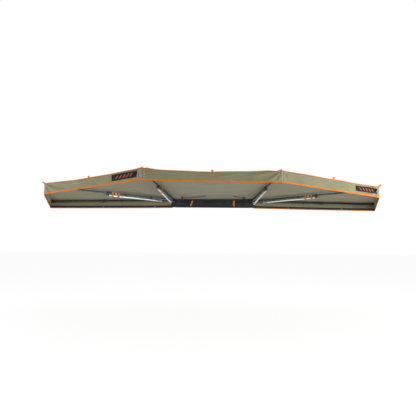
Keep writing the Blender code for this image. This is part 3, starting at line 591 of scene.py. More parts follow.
# The four legs: round tubes anodised bright, stowed under the middle and front arms with their rubber feet by
# the hubs. Each hangs from a pin in its clamp. A ribbed collar of grey nylon locks its inner tube.
COLLAR_RIBS = 16
COLLAR_RADIUS, RIB_HEIGHT = 0.0166, 0.0007
COLLAR_FROM, COLLAR_LENGTH = 0.953, 0.036
COLLAR_WALL, COLLAR_EASE = 0.0008, 0.0012

grey_nylon = moulded("grey_moulded_nylon", "#9ba0a1", "#7d8283")
rubber = moulded("light_grey_moulded_rubber", "#a9aeab", "#8b908d", 0.0016)
legs = {}
for word, row in [key for key in lines if key[1] != "rear"]:
    prefix = f"{word}_{row}"
    pivot = np.array(joints[f"{prefix}_leg_swing"]["pos_m"])
    down = np.array(joints[f"{prefix}_leg_slide"]["axis"])
    legs[word, row] = pivot, down
    _, _, back, _ = lines[word, row]
    aside = unit(np.cross(down, back))
    line = (pivot, down, back, aside)
    bright = anodised(f"bright_anodised_tube_{prefix}", line, "#ccd3cf", "#bcc4c0", 0.36)
    softened(f"{prefix}_leg", f"{prefix}_leg_tube", bright, "leg_silver", 0.0004)
    softened(f"{prefix}_leg_extension", f"{prefix}_leg_inner_tube", bright, "leg_silver", 0.0003)
    softened(f"{prefix}_leg_foot", f"{prefix}_leg_rubber_foot", rubber, "foot_rubber", 0.0008)
    angle = np.linspace(0, 2 * math.pi, 8 * COLLAR_RIBS, endpoint=False)
    reach = COLLAR_RADIUS + RIB_HEIGHT * np.abs(np.cos(COLLAR_RIBS / 2 * angle)) ** 0.5
    radial = np.cos(angle)[:, None] * back + np.sin(angle)[:, None] * aside
    path = pivot + COLLAR_FROM * down + reach[:, None] * radial
    section = [(0.0, 0.0), (COLLAR_WALL, COLLAR_EASE), (COLLAR_WALL, COLLAR_LENGTH - COLLAR_EASE),
               (0.0, COLLAR_LENGTH)]
    collar = carried(f"{prefix}_leg_collar", path, radial, down, section, True)
    shown(collar, grey_nylon, f"{prefix}_leg", "casting_black")

# The webbing on the stowed legs: orange bands over the middle and front arms, whose lower halves wrap under
# the legs and open so that these can hang down. A grey clip sits between the two bands of a middle arm. Black
# webbing tabs, sewn to the canopy, go round each tube and keep the cloth over its arm.
BAND_CLOTH = 0.0014
BAND_RISE = 0.0006
BAND_REACHES = {"middle": (1.09, 1.20), "front": (1.06,)}
BAND_FOOT, SLING_TOP = -0.049, -0.0495
BAND_CORNER = 0.006
LEG_RADIUS = 0.0152
TAB_WIDTH, TAB_CLOTH = 0.025, 0.0012
TAB_REACHES = (0.45, 0.95)
CLIP_LENGTH, CLIP_REACH = 0.034, 1.145
CLIP_FOOT, CLIP_CORNER = -0.030, 0.004
CLIP_OUTSIDE, CLIP_INSIDE = 0.0026, 0.0003


def wrapped(name, line, reach, outline, width, thickness, round_path=False):
    """A strip of webbing round an arm, so far along it. The outline's points are metres back and up of it."""
    start, along, back, up = line
    path = start + reach * along + outline[:, :1] * back + outline[:, 1:] * up
    tangent = np.gradient(outline, axis=0)
    if round_path:
        tangent = np.roll(outline, -1, axis=0) - np.roll(outline, 1, axis=0)
    tangent = unit(tangent)
    out = tangent[:, 1:] * back - tangent[:, :1] * up
    out = out * math.copysign(1.0, ((path - start - reach * along) * out).sum())
    return carried(name, path, along, out, strip(width, thickness), round_path)


black_webbing = webbing("black_woven_webbing", "#1e2022", "#2f3134", 0.0264, "#4a4d50")
for (word, row), line in lines.items():
    start, along, back, up = line
    prefix = f"{word}_{row}"
    past_hub = reaches(f"{prefix}_arm", start, along) > 0.2
    half_tube = reaches(f"{prefix}_arm", start, up)[past_hub].max()
    inner = half_tube + BAND_RISE
    loop = rounded(inner, inner, BAND_CORNER)
    for number, reach in enumerate(TAB_REACHES, 1):
        tab = wrapped(f"{prefix}_arm_tab_{number}", line, reach, loop, TAB_WIDTH, TAB_CLOTH, True)
        shown(tab, black_webbing, f"{prefix}_arm", "cover_black")
    if row == "rear":
        continue
    pivot, down = legs[word, row]
    corner = np.linspace(0, math.pi / 2, 6)
    shoulder = inner - BAND_CORNER + BAND_CORNER * np.stack([np.cos(corner), np.sin(corner)], axis=-1)
    right = np.concatenate([[[inner, BAND_FOOT], [inner, -0.03], [inner, -0.01]], shoulder])
    saddle = np.concatenate([right, right[::-1] * [-1, 1]])
    bend = np.linspace(0, -math.pi, 25)
    for number, reach in enumerate(BAND_REACHES[row], 1):
        band = wrapped(f"{prefix}_leg_band_{number}", line, reach, saddle, STRAP_WIDTH, BAND_CLOTH)
        stands_for = (f"{prefix}_leg_strap",) if number == 1 else ()
        shown(band, orange_webbing, f"{prefix}_arm", "strap_orange", *stands_for)
        centre = start + reach * along
        beside = pivot + down * ((centre - pivot) @ along) / (down @ along)
        sunk = ((centre - beside) @ up + LEG_RADIUS + SLING_TOP) * np.abs(np.sin(bend)) ** 0.8
        under = np.stack([inner * np.cos(bend), SLING_TOP - sunk], axis=-1)
        sling = wrapped(f"{prefix}_leg_sling_{number}", line, reach, under, STRAP_WIDTH, BAND_CLOTH)
        shown(sling, orange_webbing, f"{prefix}_leg", "strap_orange")
    if row == "middle":
        outer, bore = half_tube + CLIP_OUTSIDE, half_tube + CLIP_INSIDE
        right = np.array([[outer, CLIP_FOOT], [outer, outer - CLIP_CORNER], [outer - CLIP_CORNER, outer]])
        hollow = np.array([[-bore, CLIP_FOOT], [-bore, bore], [bore, bore], [bore, CLIP_FOOT]])
        shell = np.concatenate([right, right[::-1] * [-1, 1], hollow])
        path = start + (CLIP_REACH + np.linspace(-0.5, 0.5, 2)[:, None] * CLIP_LENGTH) * along
        clip = carried(f"{prefix}_leg_clip", path, back, up, shell)
        round_edges(shown(clip, grey_nylon, f"{prefix}_arm", "casting_black"), 0.0008)

# The canopy: panels of coated ripstop polyester sewn edge to edge over the arms, pulled tight by the tips and
# sagging a little between them. From outside it is khaki, and from below its greyer coat shows. As the arms
# fold shut the cloth gathers over each arm, so each panel here is cut into parts that each ride on one tube.
CANOPY_CLOTH = 0.0014
PAD_TO_TOP = 0.0027
CANOPY_START, CANOPY_SPLIT, CANOPY_END = 0.050, 1.32, 2.282
RAIL_CORNER = (0.770, -0.006, 0.0748)
REAR_OVERHANG = 0.028
CENTRE_SAG = 0.031
SIDE_SAG = {"left": 0.0095, "right": 0.0055}
SLACK_FROM = 0.35
BUNDLE = 0.0150
BUNDLE_LEVEL = {"arm": -0.0160, "extension": 0.0035}
FRONT_SLOPE = -0.040 / 1.55
REAR_LIFT = 0.012

outside = coated_cloth("khaki_coated_ripstop", "#888464", "#979274", 0.006, 0.32, 0.72)
inside = coated_cloth("grey_khaki_polyurethane_coat", "#7f7a60", "#88826a", 0.006, 0.32, 0.6)
gathers, sheets, trims, edge_tops, pad_top = {}, {}, {}, {}, {}
for (word, row), (start, _, _, up) in lines.items():
    pad_top[word, row] = reaches(f"{word}_{row}_tip", start, up).max() + PAD_TO_TOP


def seam(word, row, reach):
    """Points of the canopy's upper face over an arm's line, each so far along the arm."""
    start, along, _, up = lines[word, row]
    return start + np.multiply.outer(reach, along) + pad_top[word, row] * up


def closer_at_ends(count):
    """Numbers from 0 to 1 that lie closer together towards both."""
    return (1 - np.cos(np.linspace(0, math.pi, count))) / 2


def wave(height, metres, length, shift):
    """A sine wave of this height and length over a distance in metres, moved by a shift in radians."""
    return height * np.sin(2 * math.pi * metres / length + shift)


def panel(first, last, reach, share, sag, hold, seed):
    """A panel's upper face: straight chords from its first seam to its last, lowered by sag * 4 s (1 - s).

    Added to that are broad slack waves, the puckers that stitching draws along both seams, and tension folds
    that fan out from the two outer corners. All are zero on the seams, and hold scales them row by row.
    """
    phase = np.random.default_rng(seed).uniform(0, 2 * math.pi, 8)
    chord = np.linalg.norm(last - first, axis=1)[:, None]
    reach, sag, hold, s = reach[:, None], sag[:, None], hold[:, None], share[None, :]
    bow = 4 * s * (1 - s)
    near = np.minimum(s, 1 - s) * chord
    broad = wave(0.0045, reach, 0.83, phase[0] + 2.4 * s) + wave(0.0030, reach, 0.47, phase[1] - 4.1 * s)
    broad = broad + wave(0.0024, s * chord, 0.61, phase[2] + 1.3 * np.sin(reach / 0.4))
    pucker = wave(0.0018, reach, 0.055, phase[4] + wave(1.5, reach, 0.31, phase[3]))
    pucker = pucker * np.exp(-near / 0.07) * np.clip(near / 0.012, 0, 1)
    from_end = CANOPY_END - reach
    away = np.hypot(from_end, near)
    fan = 0.0060 * np.exp(-(away / 0.50) ** 2) * np.clip(away / 0.08, 0, 1) * np.clip(near / 0.05, 0, 1)
    fan = fan * np.sin(9 * np.arctan2(near, from_end + 1e-6) + phase[5] + 3 * (s > 0.5))
    points = first[:, None] * (1 - s[..., None]) + last[:, None] * s[..., None]
    points[..., 2] += hold * (bow * broad + pucker + fan) - sag * bow
    return points


def even_cloth(first, last, share):
    """The UV map of a panel in metres: across it from its middle, and down it between its seams."""
    chord = np.linalg.norm(last - first, axis=1)[:, None]
    down = lengths_along((first + last) / 2)[:, None]
    return np.stack(np.broadcast_arrays((share - 0.5) * chord, down), axis=-1)


def gathered(piece, key):
    """The piece rides on the tube set down under this key, with a mesh of its own."""
    body, joint, axis, anchor, keep = gathers[key]
    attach(piece, body)
    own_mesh(piece)


def over_arm(key, word, row, part, grid, lift=0.0, slope=0.0, bundle=BUNDLE):
    """Sets down that cloth gathers into an upright bundle on a tube, its far edge raised by the lift."""
    start, _, back, up = lines[word, row]
    widest = float(((grid - start) @ -back).max())
    tilt = slope + lift / widest
    anchor = start - BUNDLE_LEVEL[part] * back + pad_top[word, row] * up
    keep = max(bundle / widest - tilt ** 2, 0.004)
    gathers[key] = (f"{word}_{row}_{part}", f"{word}_fold", -back - tilt * Z_AXIS, anchor, keep)


def sewn_cloth(key, grid, marks, facing, held, rests_on, stands_for=(), coats=(outside, inside)):
    """Cloth of the canopy's thickness on the tube set down under its key, noted as a sheet of its cut size.
    """
    mesh = cloth(key, grid, marks, CANOPY_CLOTH, facing)
    piece = shown(mesh, coats, gathers[key][0], "canopy_khaki", *stands_for)
    gathered(piece, key)
    spans, drops = np.diff(grid, axis=1), np.diff(grid, axis=0)
    across = np.linalg.norm(spans, axis=2).sum(axis=1).max()
    down = np.linalg.norm(drops, axis=2).sum(axis=0).max()
    area = np.linalg.norm(np.cross(spans[:-1], drops[:, :-1]), axis=-1).sum()
    sheets[key] = (piece, (float(across), float(down)), held, [rests_on], min(float(area), across * down))


def rear_edge(word, reach):
    """Points of the canopy's rear edge, from the rail to the far corner, at given reaches of the arms."""
    corner, far_corner = edge_tops[word, "rear_edge"]
    depth = (reach - CANOPY_START) / (CANOPY_END - CANOPY_START)
    return corner + depth[:, None] * (far_corner - corner)


inner_reach = np.linspace(CANOPY_START, CANOPY_SPLIT, 120)
outer_reach = np.linspace(CANOPY_SPLIT, CANOPY_END, 96)
ZONES = (("inner", "arm", inner_reach), ("outer", "extension", outer_reach))
for word, sign in SIDES:
    corner = np.array(RAIL_CORNER) * [sign, 1, 1]
    rear_end, middle_end = seam(word, "rear", CANOPY_END), seam(word, "middle", CANOPY_END)
    past = REAR_OVERHANG / (rear_end[1] - middle_end[1])
    edge_tops[word, "rear_edge"] = (corner, rear_end + (rear_end - middle_end) * past)
    for zone, part, reach in ZONES:
        middle = seam(word, "middle", reach)
        for side, row, first, last, lift, slope, seed in (
            ("front", "middle", middle, seam(word, "front", reach), 0.0, FRONT_SLOPE, 11 + int(sign)),
            ("rear", "rear", rear_edge(word, reach), middle, REAR_LIFT, 0.0, 17 + int(sign)),
        ):
            key = f"{word}_{side}_panel_{zone}"
            share = closer_at_ends(61)
            sag = SIDE_SAG[word] * np.linalg.norm(last - first, axis=1)
            grid = panel(first, last, reach, share, sag, np.clip(reach / SLACK_FROM, 0, 1), seed)
            over_arm(key, word, row, part, grid, lift, slope)
            sewn_cloth(key, grid, even_cloth(first, last, share), Z_AXIS, "stretched",
                       f"{word}_{row}_arm_end_cap", (f"{word}_{side}_canopy",) if part == "arm" else ())
            edge_tops[word, f"{side}_panel"] = grid[-1]

# The canopy's centre panel, of the same ripstop, is cut once here between the two stacks of folded arms. What
# lies behind the cut has a black underside and rides on the rail, set down to gather with the right arms,
# which fold first. A narrow strip rides on the right front arm, and the wide rest on the left one.
STACK_GAP = -0.198
APRON_ROWS, PANEL_ROWS, STRIP_COLUMN = 18, 124, 105
APRON_GATHER = ("rail", "right_fold", (0.0, -1.0, -0.07), (0.0, -0.012, 0.0770), 0.05)
LEFT_LIFT, RIGHT_LIFT, STRIP_BUNDLE = 0.068, 0.004, 0.006


def spread(points, count):
    """The line of points again, as a number of points at even lengths along it."""
    lengths = lengths_along(points)
    even = np.linspace(0, lengths[-1], count)
    return np.stack([np.interp(even, lengths, points[:, axis]) for axis in range(3)], axis=-1)


borders = []
for word, _ in SIDES:
    corner, _ = edge_tops[word, "rear_edge"]
    hub = [corner, seam(word, "middle", CANOPY_START), seam(word, "front", CANOPY_START)]
    line = np.concatenate([hub, seam(word, "front", inner_reach[1:])])
    before = int(np.searchsorted(-line[:, 1], -STACK_GAP))
    near, far = line[before - 1:before + 1]
    cut = near + (far - near) * (STACK_GAP - near[1]) / (far[1] - near[1])
    behind = spread(np.vstack([line[:before], cut]), APRON_ROWS + 1)
    ahead = spread(np.vstack([cut, line[before:]]), PANEL_ROWS + 1)
    borders.append(np.concatenate([behind, ahead[1:], seam(word, "front", outer_reach[1:])]))
away = lengths_along(sum(borders) / 2)
reach = away - away[APRON_ROWS] + CANOPY_START
share = closer_at_ends(121)
sag = CENTRE_SAG * np.sin(math.pi / 2 * away / away[-1])
centre = panel(*borders, reach, share, sag, np.clip(away / SLACK_FROM, 0, 1), 5)
marks = even_cloth(*borders, share)
rows = slice(0, APRON_ROWS + 1)
gathers["apron"] = APRON_GATHER
sewn_cloth("apron", centre[rows], marks[rows], Z_AXIS, "stretched", "canopy_track_extrusion",
           ("canopy_centre",), (outside, cover_cloth))
HALVES = (("left", slice(0, STRIP_COLUMN + 1), (LEFT_LIFT,)),
          ("right", slice(STRIP_COLUMN, None), (RIGHT_LIFT, 0.0, STRIP_BUNDLE)))
split_row = APRON_ROWS + PANEL_ROWS
for word, columns, bundle in HALVES:
    for (zone, part, _), rows in zip(ZONES, (slice(APRON_ROWS, split_row + 1), slice(split_row, None))):
        key = f"{word}_centre_panel_{zone}"
        over_arm(key, word, "front", part, centre[rows, columns], *bundle)
        sewn_cloth(key, centre[rows, columns], marks[rows, columns], Z_AXIS, "stretched",
                   f"{word}_front_arm_end_cap")
    edge_tops[word, "centre"] = centre[-1, columns]

# The valance: a band of the same ripstop, 156 mm deep, sewn round the canopy's open edges and left to hang.
# It ripples towards its hem and creases from its top corners, where the tips pull. As an arm folds, the cloth
# that hangs across its end gathers there, and the cloth behind a rear arm is pressed flat beside its tubes.
VALANCE_DROP = 0.156
VALANCE_TURN = 0.0040
HEM_WIDTH = 0.020
HEM_SAG = {"centre": 0.012, "front_panel": 0.002, "rear_panel": 0.002, "rear_edge": 0.003}
DEEP_POWER = 0.9
BESIDE_TIP, BESIDE_LEVER, BEHIND_TIP = (0.0085, 0.0195), (0.0105, 0.0165), (-0.028, -0.0168)
REAR_PLANE = {"arm": -0.0205, "extension": -0.0235}
PRESSED = 0.01
deep = np.linspace(0, 1, 30) ** DEEP_POWER


def valance(top, outward, hem_sag, seed, slack, creases, whole=None):
    """Cloth hung from a line of points, its hem straight between the line's ends but for its sag.

    It moves outward by three ripples that grow with the depth to the power 1.4, the finest of which then
    fades, by slanting drag lines about 60 mm apart, by creases that fan out from each top corner and die
    away, and by a slight turn of the cloth at its top. Slack scales the first two. Drag lines and creases
    end above the hem, and nothing moves at the line's ends. Where the sum would go inward, nearly all of it
    is left out. Rows run down the cloth and columns along it.
    """
    phase = np.random.default_rng(seed).uniform(0, 2 * math.pi, 8)
    first, last = (top[0], top[-1]) if whole is None else whole
    span = np.linalg.norm(last - first)
    s = (top - first) @ (last - first) / span ** 2
    straight = first + s[:, None] * (last - first)
    hem = straight - (VALANCE_DROP + hem_sag * 4 * s * (1 - s))[:, None] * Z_AXIS
    d, metres = deep[:, None], s[None, :] * span
    drop = d * VALANCE_DROP
    above_hem = np.sin(math.pi * np.clip(drop / (VALANCE_DROP - HEM_WIDTH), 0, 1))
    ends = np.clip(metres / 0.07, 0, 1) * np.clip((span - metres) / 0.07, 0, 1)
    ripple = wave(0.0072, metres, 0.66, phase[0] + 1.2 * np.sin(metres / 0.37 + phase[1]))
    ripple = ripple + wave(0.0034, metres, 0.29, phase[2] + 2.0 * d)
    ripple = ripple + wave(0.0012, metres, 0.083, phase[5]) * np.exp(-d / 0.25)
    drag = wave(0.0023, drop, 0.061, 2 * math.pi * metres / 0.47 + 1.9 * np.sin(metres / 0.21 + phase[6]))
    drag = drag * (0.35 + 0.65 * np.sin(metres / 0.33 + phase[7]) ** 2) * above_hem ** 0.6
    move = ripple * slack * d ** 1.4 + slack ** 2 * drag + VALANCE_TURN * d ** 0.4
    for weight, from_corner, number in ((creases[0], metres, 3), (creases[1], span - metres, 4)):
        away = np.hypot(from_corner, drop)
        lean = np.arctan2(drop, from_corner + 1e-6)
        fan = 0.0050 * np.exp(-(away / 0.46) ** 2) * np.clip(away / 0.06, 0, 1) * above_hem ** 0.5
        move = move + weight * fan * np.sin(13 * lean ** 0.7 + phase[number])
    move = move * ends
    move = (move + np.hypot(move, 0.004 * d * ends)) / 2
    return top * (1 - d[..., None]) + hem * d[..., None] + move[..., None] * outward


def against_end(key, word, row, corner, chord, low, high):
    """Sets down that cloth hung across an arm's end gathers beside it, from low to high ahead of its line."""
    start, _, back, _ = lines[word, row]
    way = unit(chord)
    slope = way @ -back
    anchor = corner + way * (low - (corner - start) @ -back) / slope
    keep = (high - low) / (slope * np.linalg.norm(chord))
    gathers[key] = (f"{word}_{row}_extension", f"{word}_fold", way, anchor, keep)


def hang(key, grid, outward, rests_on):
    """Sews on a band of the valance. Its UV map is in metres along its top edge and down it."""
    marks = np.stack(np.broadcast_arrays(lengths_along(grid[0]), deep[:, None] * VALANCE_DROP), axis=-1)
    sewn_cloth(key, grid, marks, outward, "hung", rests_on)
    hung[key] = (grid, outward)


hung = {}
for word, sign in SIDES:
    corner, far_corner = edge_tops[word, "rear_edge"]
    for name, row, slack, creases, limits, seed in (
        ("centre", "front", 1.0, (1.0, 1.6), BESIDE_TIP, 23),
        ("front_panel", "middle", 1.0, (2.3, 1.6), BESIDE_TIP, 29 + int(sign)),
        ("rear_panel", "rear", 0.2, (0.3, 0.3), BEHIND_TIP, 37 + int(sign)),
    ):
        key = f"{word}_{name}_valance"
        narrow = key == "right_centre_valance"
        top = spread(edge_tops[word, name], 14 if narrow else 200)
        outward = unit(np.cross(top[-1] - top[0], Z_AXIS))
        outward = outward * math.copysign(1.0, outward @ (top[0] - [0, -1.0, 0]))
        whole = (centre[-1, 0], centre[-1, -1]) if name == "centre" else None
        end = far_corner if name == "rear_panel" else seam(word, row, CANOPY_END)
        first, last = sorted((top[0], top[-1]), key=lambda point: np.linalg.norm(point - end))
        chord = (last - first) * [1, 1, 0] if narrow else last - first
        against_end(key, word, row, end, chord, *(BESIDE_LEVER if narrow else limits))
        grid = valance(top, outward, HEM_SAG[name], seed, slack, creases, whole)
        hang(key, grid, outward, f"{word}_{name}_outer")
    start, _, back, _ = lines[word, "rear"]
    outward = unit(np.cross(far_corner - corner, Z_AXIS))
    outward = outward * math.copysign(1.0, outward[1])
    for zone, part, reach in ZONES:
        key = f"{word}_rear_valance_{zone}"
        grid = valance(rear_edge(word, reach), outward, HEM_SAG["rear_edge"], 43 + int(sign), 0.5, (0.3, 0.8),
                       (corner, far_corner))
        gathers[key] = (f"{word}_rear_{part}", f"{word}_fold", back, start - REAR_PLANE[part] * back, PRESSED)
        hang(key, grid, outward, f"{word}_rear_panel_{zone}")

# The canopy's edges. A bead of piping, a cord in orange cloth, runs round its top edge, and orange webbing
# folded over the hem binds it. Black zips for side walls, a nylon coil on woven tape, are sewn inside the
# rear bands of the valance.
PIPING_RADIUS = 0.0048
REAR_HEM_WIDTH = 0.015
HEM_CLOTH = 0.0012
ZIP_WIDTH, ZIP_TAPE = 0.032, 0.0008
ZIP_INSET = 0.016
COIL_HALF, COIL_HEIGHT = 0.0030, 0.0018
LAYER_GAP = 0.0002
SEWN_GAP = 0.0003

hem_webbing = webbing("orange_hem_binding", "#d97b1c", "#bd6818", 0.0218, "#e6a152")
piping_cloth = webbing("orange_piping_cover", "#dc7e26", "#c06d22", 0.5, "#e39a55")
zip_cloth = webbing("black_zip_tape", "#131517", "#1f2123", 0.0164, "#33363a")
coil_nylon = moulded("black_zip_coil_nylon", "#202224", "#34373a", 0.0016)


def ring(radius, steps):
    """A circle as a closed profile."""
    angle = np.linspace(0, 2 * math.pi, steps, endpoint=False)
    return np.stack([radius * np.cos(angle), radius * np.sin(angle)], axis=-1)


def trim(mesh, finish, key, slot="canopy_khaki"):
    """A trimming that rides on the same tube as the cloth it is sewn to, and is noted with it."""
    piece = shown(mesh, finish, gathers[key][0], slot)
    gathered(piece, key)
    trims.setdefault(key, []).append(piece)


def on_valance(grid, along, depth):
    """Points of a valance at given metres along it and below its top edge, by interpolation in its grid."""
    rows, columns = grid.shape[:2]
    row = np.clip(depth / VALANCE_DROP, 0, 1) ** (1 / DEEP_POWER) * (rows - 1)
    column = np.interp(along, lengths_along(grid[0]), np.arange(columns))
    low, left = np.minimum(row.astype(int), rows - 2), np.minimum(column.astype(int), columns - 2)
    part, over = (row - low)[..., None], (column - left)[..., None]
    near = grid[low, left] * (1 - over) + grid[low, left + 1] * over
    far = grid[low + 1, left] * (1 - over) + grid[low + 1, left + 1] * over
    return near * (1 - part) + far * part


def along_edge(grid):
    """The direction of a valance's top edge from its start to its end."""
    return unit(grid[0, -1] - grid[0, 0])


zip_lines = {}
coil_across = np.linspace(-1, 1, 7)
coil_profile = np.stack([coil_across * COIL_HALF, COIL_HEIGHT * (1 - coil_across ** 2)], axis=-1)
for key, (grid, outward) in hung.items():
    top, hem = grid[0], grid[-1]
    inner_face = -CANOPY_CLOTH - HEM_CLOTH
    bound = REAR_HEM_WIDTH if "rear_valance" in key else HEM_WIDTH
    binding = ((HEM_CLOTH, bound), (HEM_CLOTH, 0.002), (SEWN_GAP, -HEM_CLOTH),
               (-CANOPY_CLOTH - SEWN_GAP, -HEM_CLOTH), (inner_face, 0.002), (inner_face, bound))
    mesh = carried(f"{key}_hem_binding", hem, outward, unit(grid[-5] - hem), binding, sharp=50.0)
    trim(mesh, hem_webbing, key, "strap_orange")
    bead_line = top + 0.74 * PIPING_RADIUS * outward + 0.0006 * Z_AXIS
    mesh = carried(f"{key}_piping", bead_line, outward, Z_AXIS, ring(PIPING_RADIUS, 10), sharp=60.0)
    trim(mesh, piping_cloth, key, "strap_orange")
    if "rear" not in key:
        continue
    inset = ZIP_INSET if "rear_panel" in key else 0.0
    along = np.linspace(inset, lengths_along(top)[-1] - inset, 180)
    depth = VALANCE_DROP - bound - np.linspace(ZIP_WIDTH, 0.0005, 9)[:, None]
    along, depth = np.broadcast_arrays(along, depth)
    face = on_valance(grid, along, depth) - (CANOPY_CLOTH + SEWN_GAP) * outward
    mesh = cloth(f"{key}_zip_tape", face, np.stack([along, depth], axis=-1), ZIP_TAPE, outward)
    trim(mesh, (zip_cloth, zip_cloth), key, "cover_black")
    line, over = face[4] - ZIP_TAPE * outward, unit(face[3] - face[5])
    trim(carried(f"{key}_zip_coil", line, over, -outward, coil_profile), coil_nylon, key, "cover_black")
    zip_lines[key] = (line, over)

# The zip pulls: cast sliders, nickel plated, that sit on the zips of the rear valances where they were last
# left, each with a flat tab hanging from it.
PULLS = (("left_rear_valance_outer", -1.62), ("left_rear_valance_inner", -1.10),
         ("right_rear_valance_outer", 2.43), ("right_rear_valance_inner", 1.43))
SLIDER_PROFILE = ((0.0055, 0.0), (0.0052, 0.0036), (0.003, 0.0048), (-0.003, 0.0048), (-0.0052, 0.0036),
                  (-0.0055, 0.0))
SLIDER_ALONG = (-0.007, -0.005, 0.005, 0.007)
TAB_OUTLINE = ((0.0045, 0.002), (0.006, -0.002), (0.0045, -0.022), (0.002, -0.026), (-0.002, -0.026),
               (-0.0045, -0.022), (-0.006, -0.002), (-0.0045, 0.002))
TAB_OUT = (0.0050, 0.0056, 0.0066, 0.0072)

nickel = zinc_plate("nickel_plated_zip_pull", "#cfd0cd", "#9c9d99")
for number, (key, x) in enumerate(PULLS, 1):
    line, over = zip_lines[key]
    _, outward = hung[key]
    column = int(np.argmin(np.abs(line[:, 0] - x)))
    seat, rise, along = line[column] - 0.0004 * outward, over[column], unit(line[-1] - line[0])
    path = seat + np.multiply.outer(SLIDER_ALONG, along)
    trim(carried(f"zip_slider_{number}", path, rise, -outward, SLIDER_PROFILE), nickel, key, "pin_steel")
    path = seat - np.multiply.outer(TAB_OUT, outward)
    trim(carried(f"zip_pull_{number}", path, along, rise, TAB_OUTLINE), nickel, key, "pin_steel")

# The seams over the arms and across the middle: two edges of the ripstop folded into each other and stitched
# down flat, with a sealing tape welded on underneath. Under the seam across the middle that tape is black, as
# painted shade: its dark line stands for the shadow of a fold there. Patches of black cloth take the wear
# over the tips, and pairs of paler tape stiffen the valance beside each corner.
SEAM_WIDTH, SEAM_CLOTH = 0.022, 0.0010
TAPE_WIDTH, TAPE_CLOTH = 0.030, 0.0006
CROSS_SEAM, CROSS_SHADE_TAPE_WIDTH = -0.60, 0.016
PATCH_WIDTH = {"front": 0.050, "middle": 0.050, "rear": 0.044}
PATCH_FROM, PATCH_TO = CANOPY_END - 0.150, CANOPY_END - 0.006
CORNER_BANDS = (0.012, 0.040)
BAND_WIDTH = 0.014

seam_cloth = coated_cloth("khaki_felled_seam", "#827d62", "#918c73", 0.5, 0.25, 0.7)
corner_cloth = coated_cloth("pale_khaki_corner_tape", "#9d987f", "#a9a48d", 0.5, 0.25, 0.75)
tip_cloth = coated_cloth("black_tip_patch_cloth", "#222527", "#2f3235", 0.004, 0.08, 0.7)
seam_tape = coated_cloth("grey_khaki_seam_tape", "#7c7966", "#86836f", 0.5, 0.25, 0.4)
for word, _ in SIDES:
    for row, name in (("front", "centre_panel"), ("middle", "front_panel")):
        _, _, back, up = lines[word, row]
        for zone, _, reach in ZONES:
            reach = reach[reach < CANOPY_END - 0.002]
            line = seam(word, row, reach)
            puckered = line + (0.0005 * np.sin(reach / 0.0085)[:, None] + LAYER_GAP) * up
            mesh = carried(f"{word}_{row}_seam_{zone}", puckered, back, up, strip(SEAM_WIDTH, SEAM_CLOTH))
            trim(mesh, seam_cloth, f"{word}_{name}_{zone}")
            under = line - (CANOPY_CLOTH + LAYER_GAP) * up
            mesh = carried(f"{word}_{row}_seam_tape_{zone}", under, back, -up, strip(TAPE_WIDTH, TAPE_CLOTH))
            trim(mesh, seam_tape, f"{word}_{name}_{zone}")
for word, _ in SIDES:
    for row, name in (("front", "centre_panel"), ("middle", "front_panel"), ("rear", "rear_panel")):
        _, _, back, up = lines[word, row]
        line = seam(word, row, np.linspace(PATCH_FROM, PATCH_TO, 16)) + (LAYER_GAP + 0.0012) * up
        mesh = carried(f"{word}_{row}_tip_patch", line, back, up, strip(PATCH_WIDTH[row], 0.0010))
        trim(mesh, tip_cloth, f"{word}_{name}_outer", "cover_black")

cross_row = int(np.argmin(np.abs(centre[:, centre.shape[1] // 2, 1] - CROSS_SEAM)))
down_panel = unit(centre[cross_row + 1] - centre[cross_row - 1])
out_of_panel = unit(np.cross(unit(np.gradient(centre[cross_row], axis=0)), down_panel))
out_of_panel = out_of_panel * np.sign(out_of_panel[:, 2:])
for word, columns, _ in HALVES:
    key = f"{word}_centre_panel_inner"
    line, ahead, out = centre[cross_row, columns], down_panel[columns], out_of_panel[columns]
    mesh = carried(f"{word}_cross_seam", line + LAYER_GAP * out, ahead, out, strip(SEAM_WIDTH, SEAM_CLOTH))
    trim(mesh, seam_cloth, key)
    # Black tape under the cross seam: painted shade, a dark line for the shadow of a fold across the
    # underside.
    under = line - (CANOPY_CLOTH + LAYER_GAP) * out
    mesh = carried(f"{word}_cross_seam_shade_tape", under, ahead, -out, strip(CROSS_SHADE_TAPE_WIDTH, TAPE_CLOTH))
    trim(mesh, zip_cloth, key, "cover_black")

for key, (grid, outward) in hung.items():
    if "rear_valance" in key:
        continue
    lengths = lengths_along(grid[0])
    for number, inset in enumerate(CORNER_BANDS, 1):
        for word, at, uncut in (("start", inset, "right_centre_valance"),
                                ("end", lengths[-1] - inset, "left_centre_valance")):
            if key != uncut:
                line = grid[1:-4, int(np.argmin(np.abs(lengths - at)))] + LAYER_GAP * outward
                mesh = carried(f"{key}_{word}_band_{number}", line, along_edge(grid), outward,
                               strip(BAND_WIDTH, SEAM_CLOTH))
                trim(mesh, corner_cloth, key)

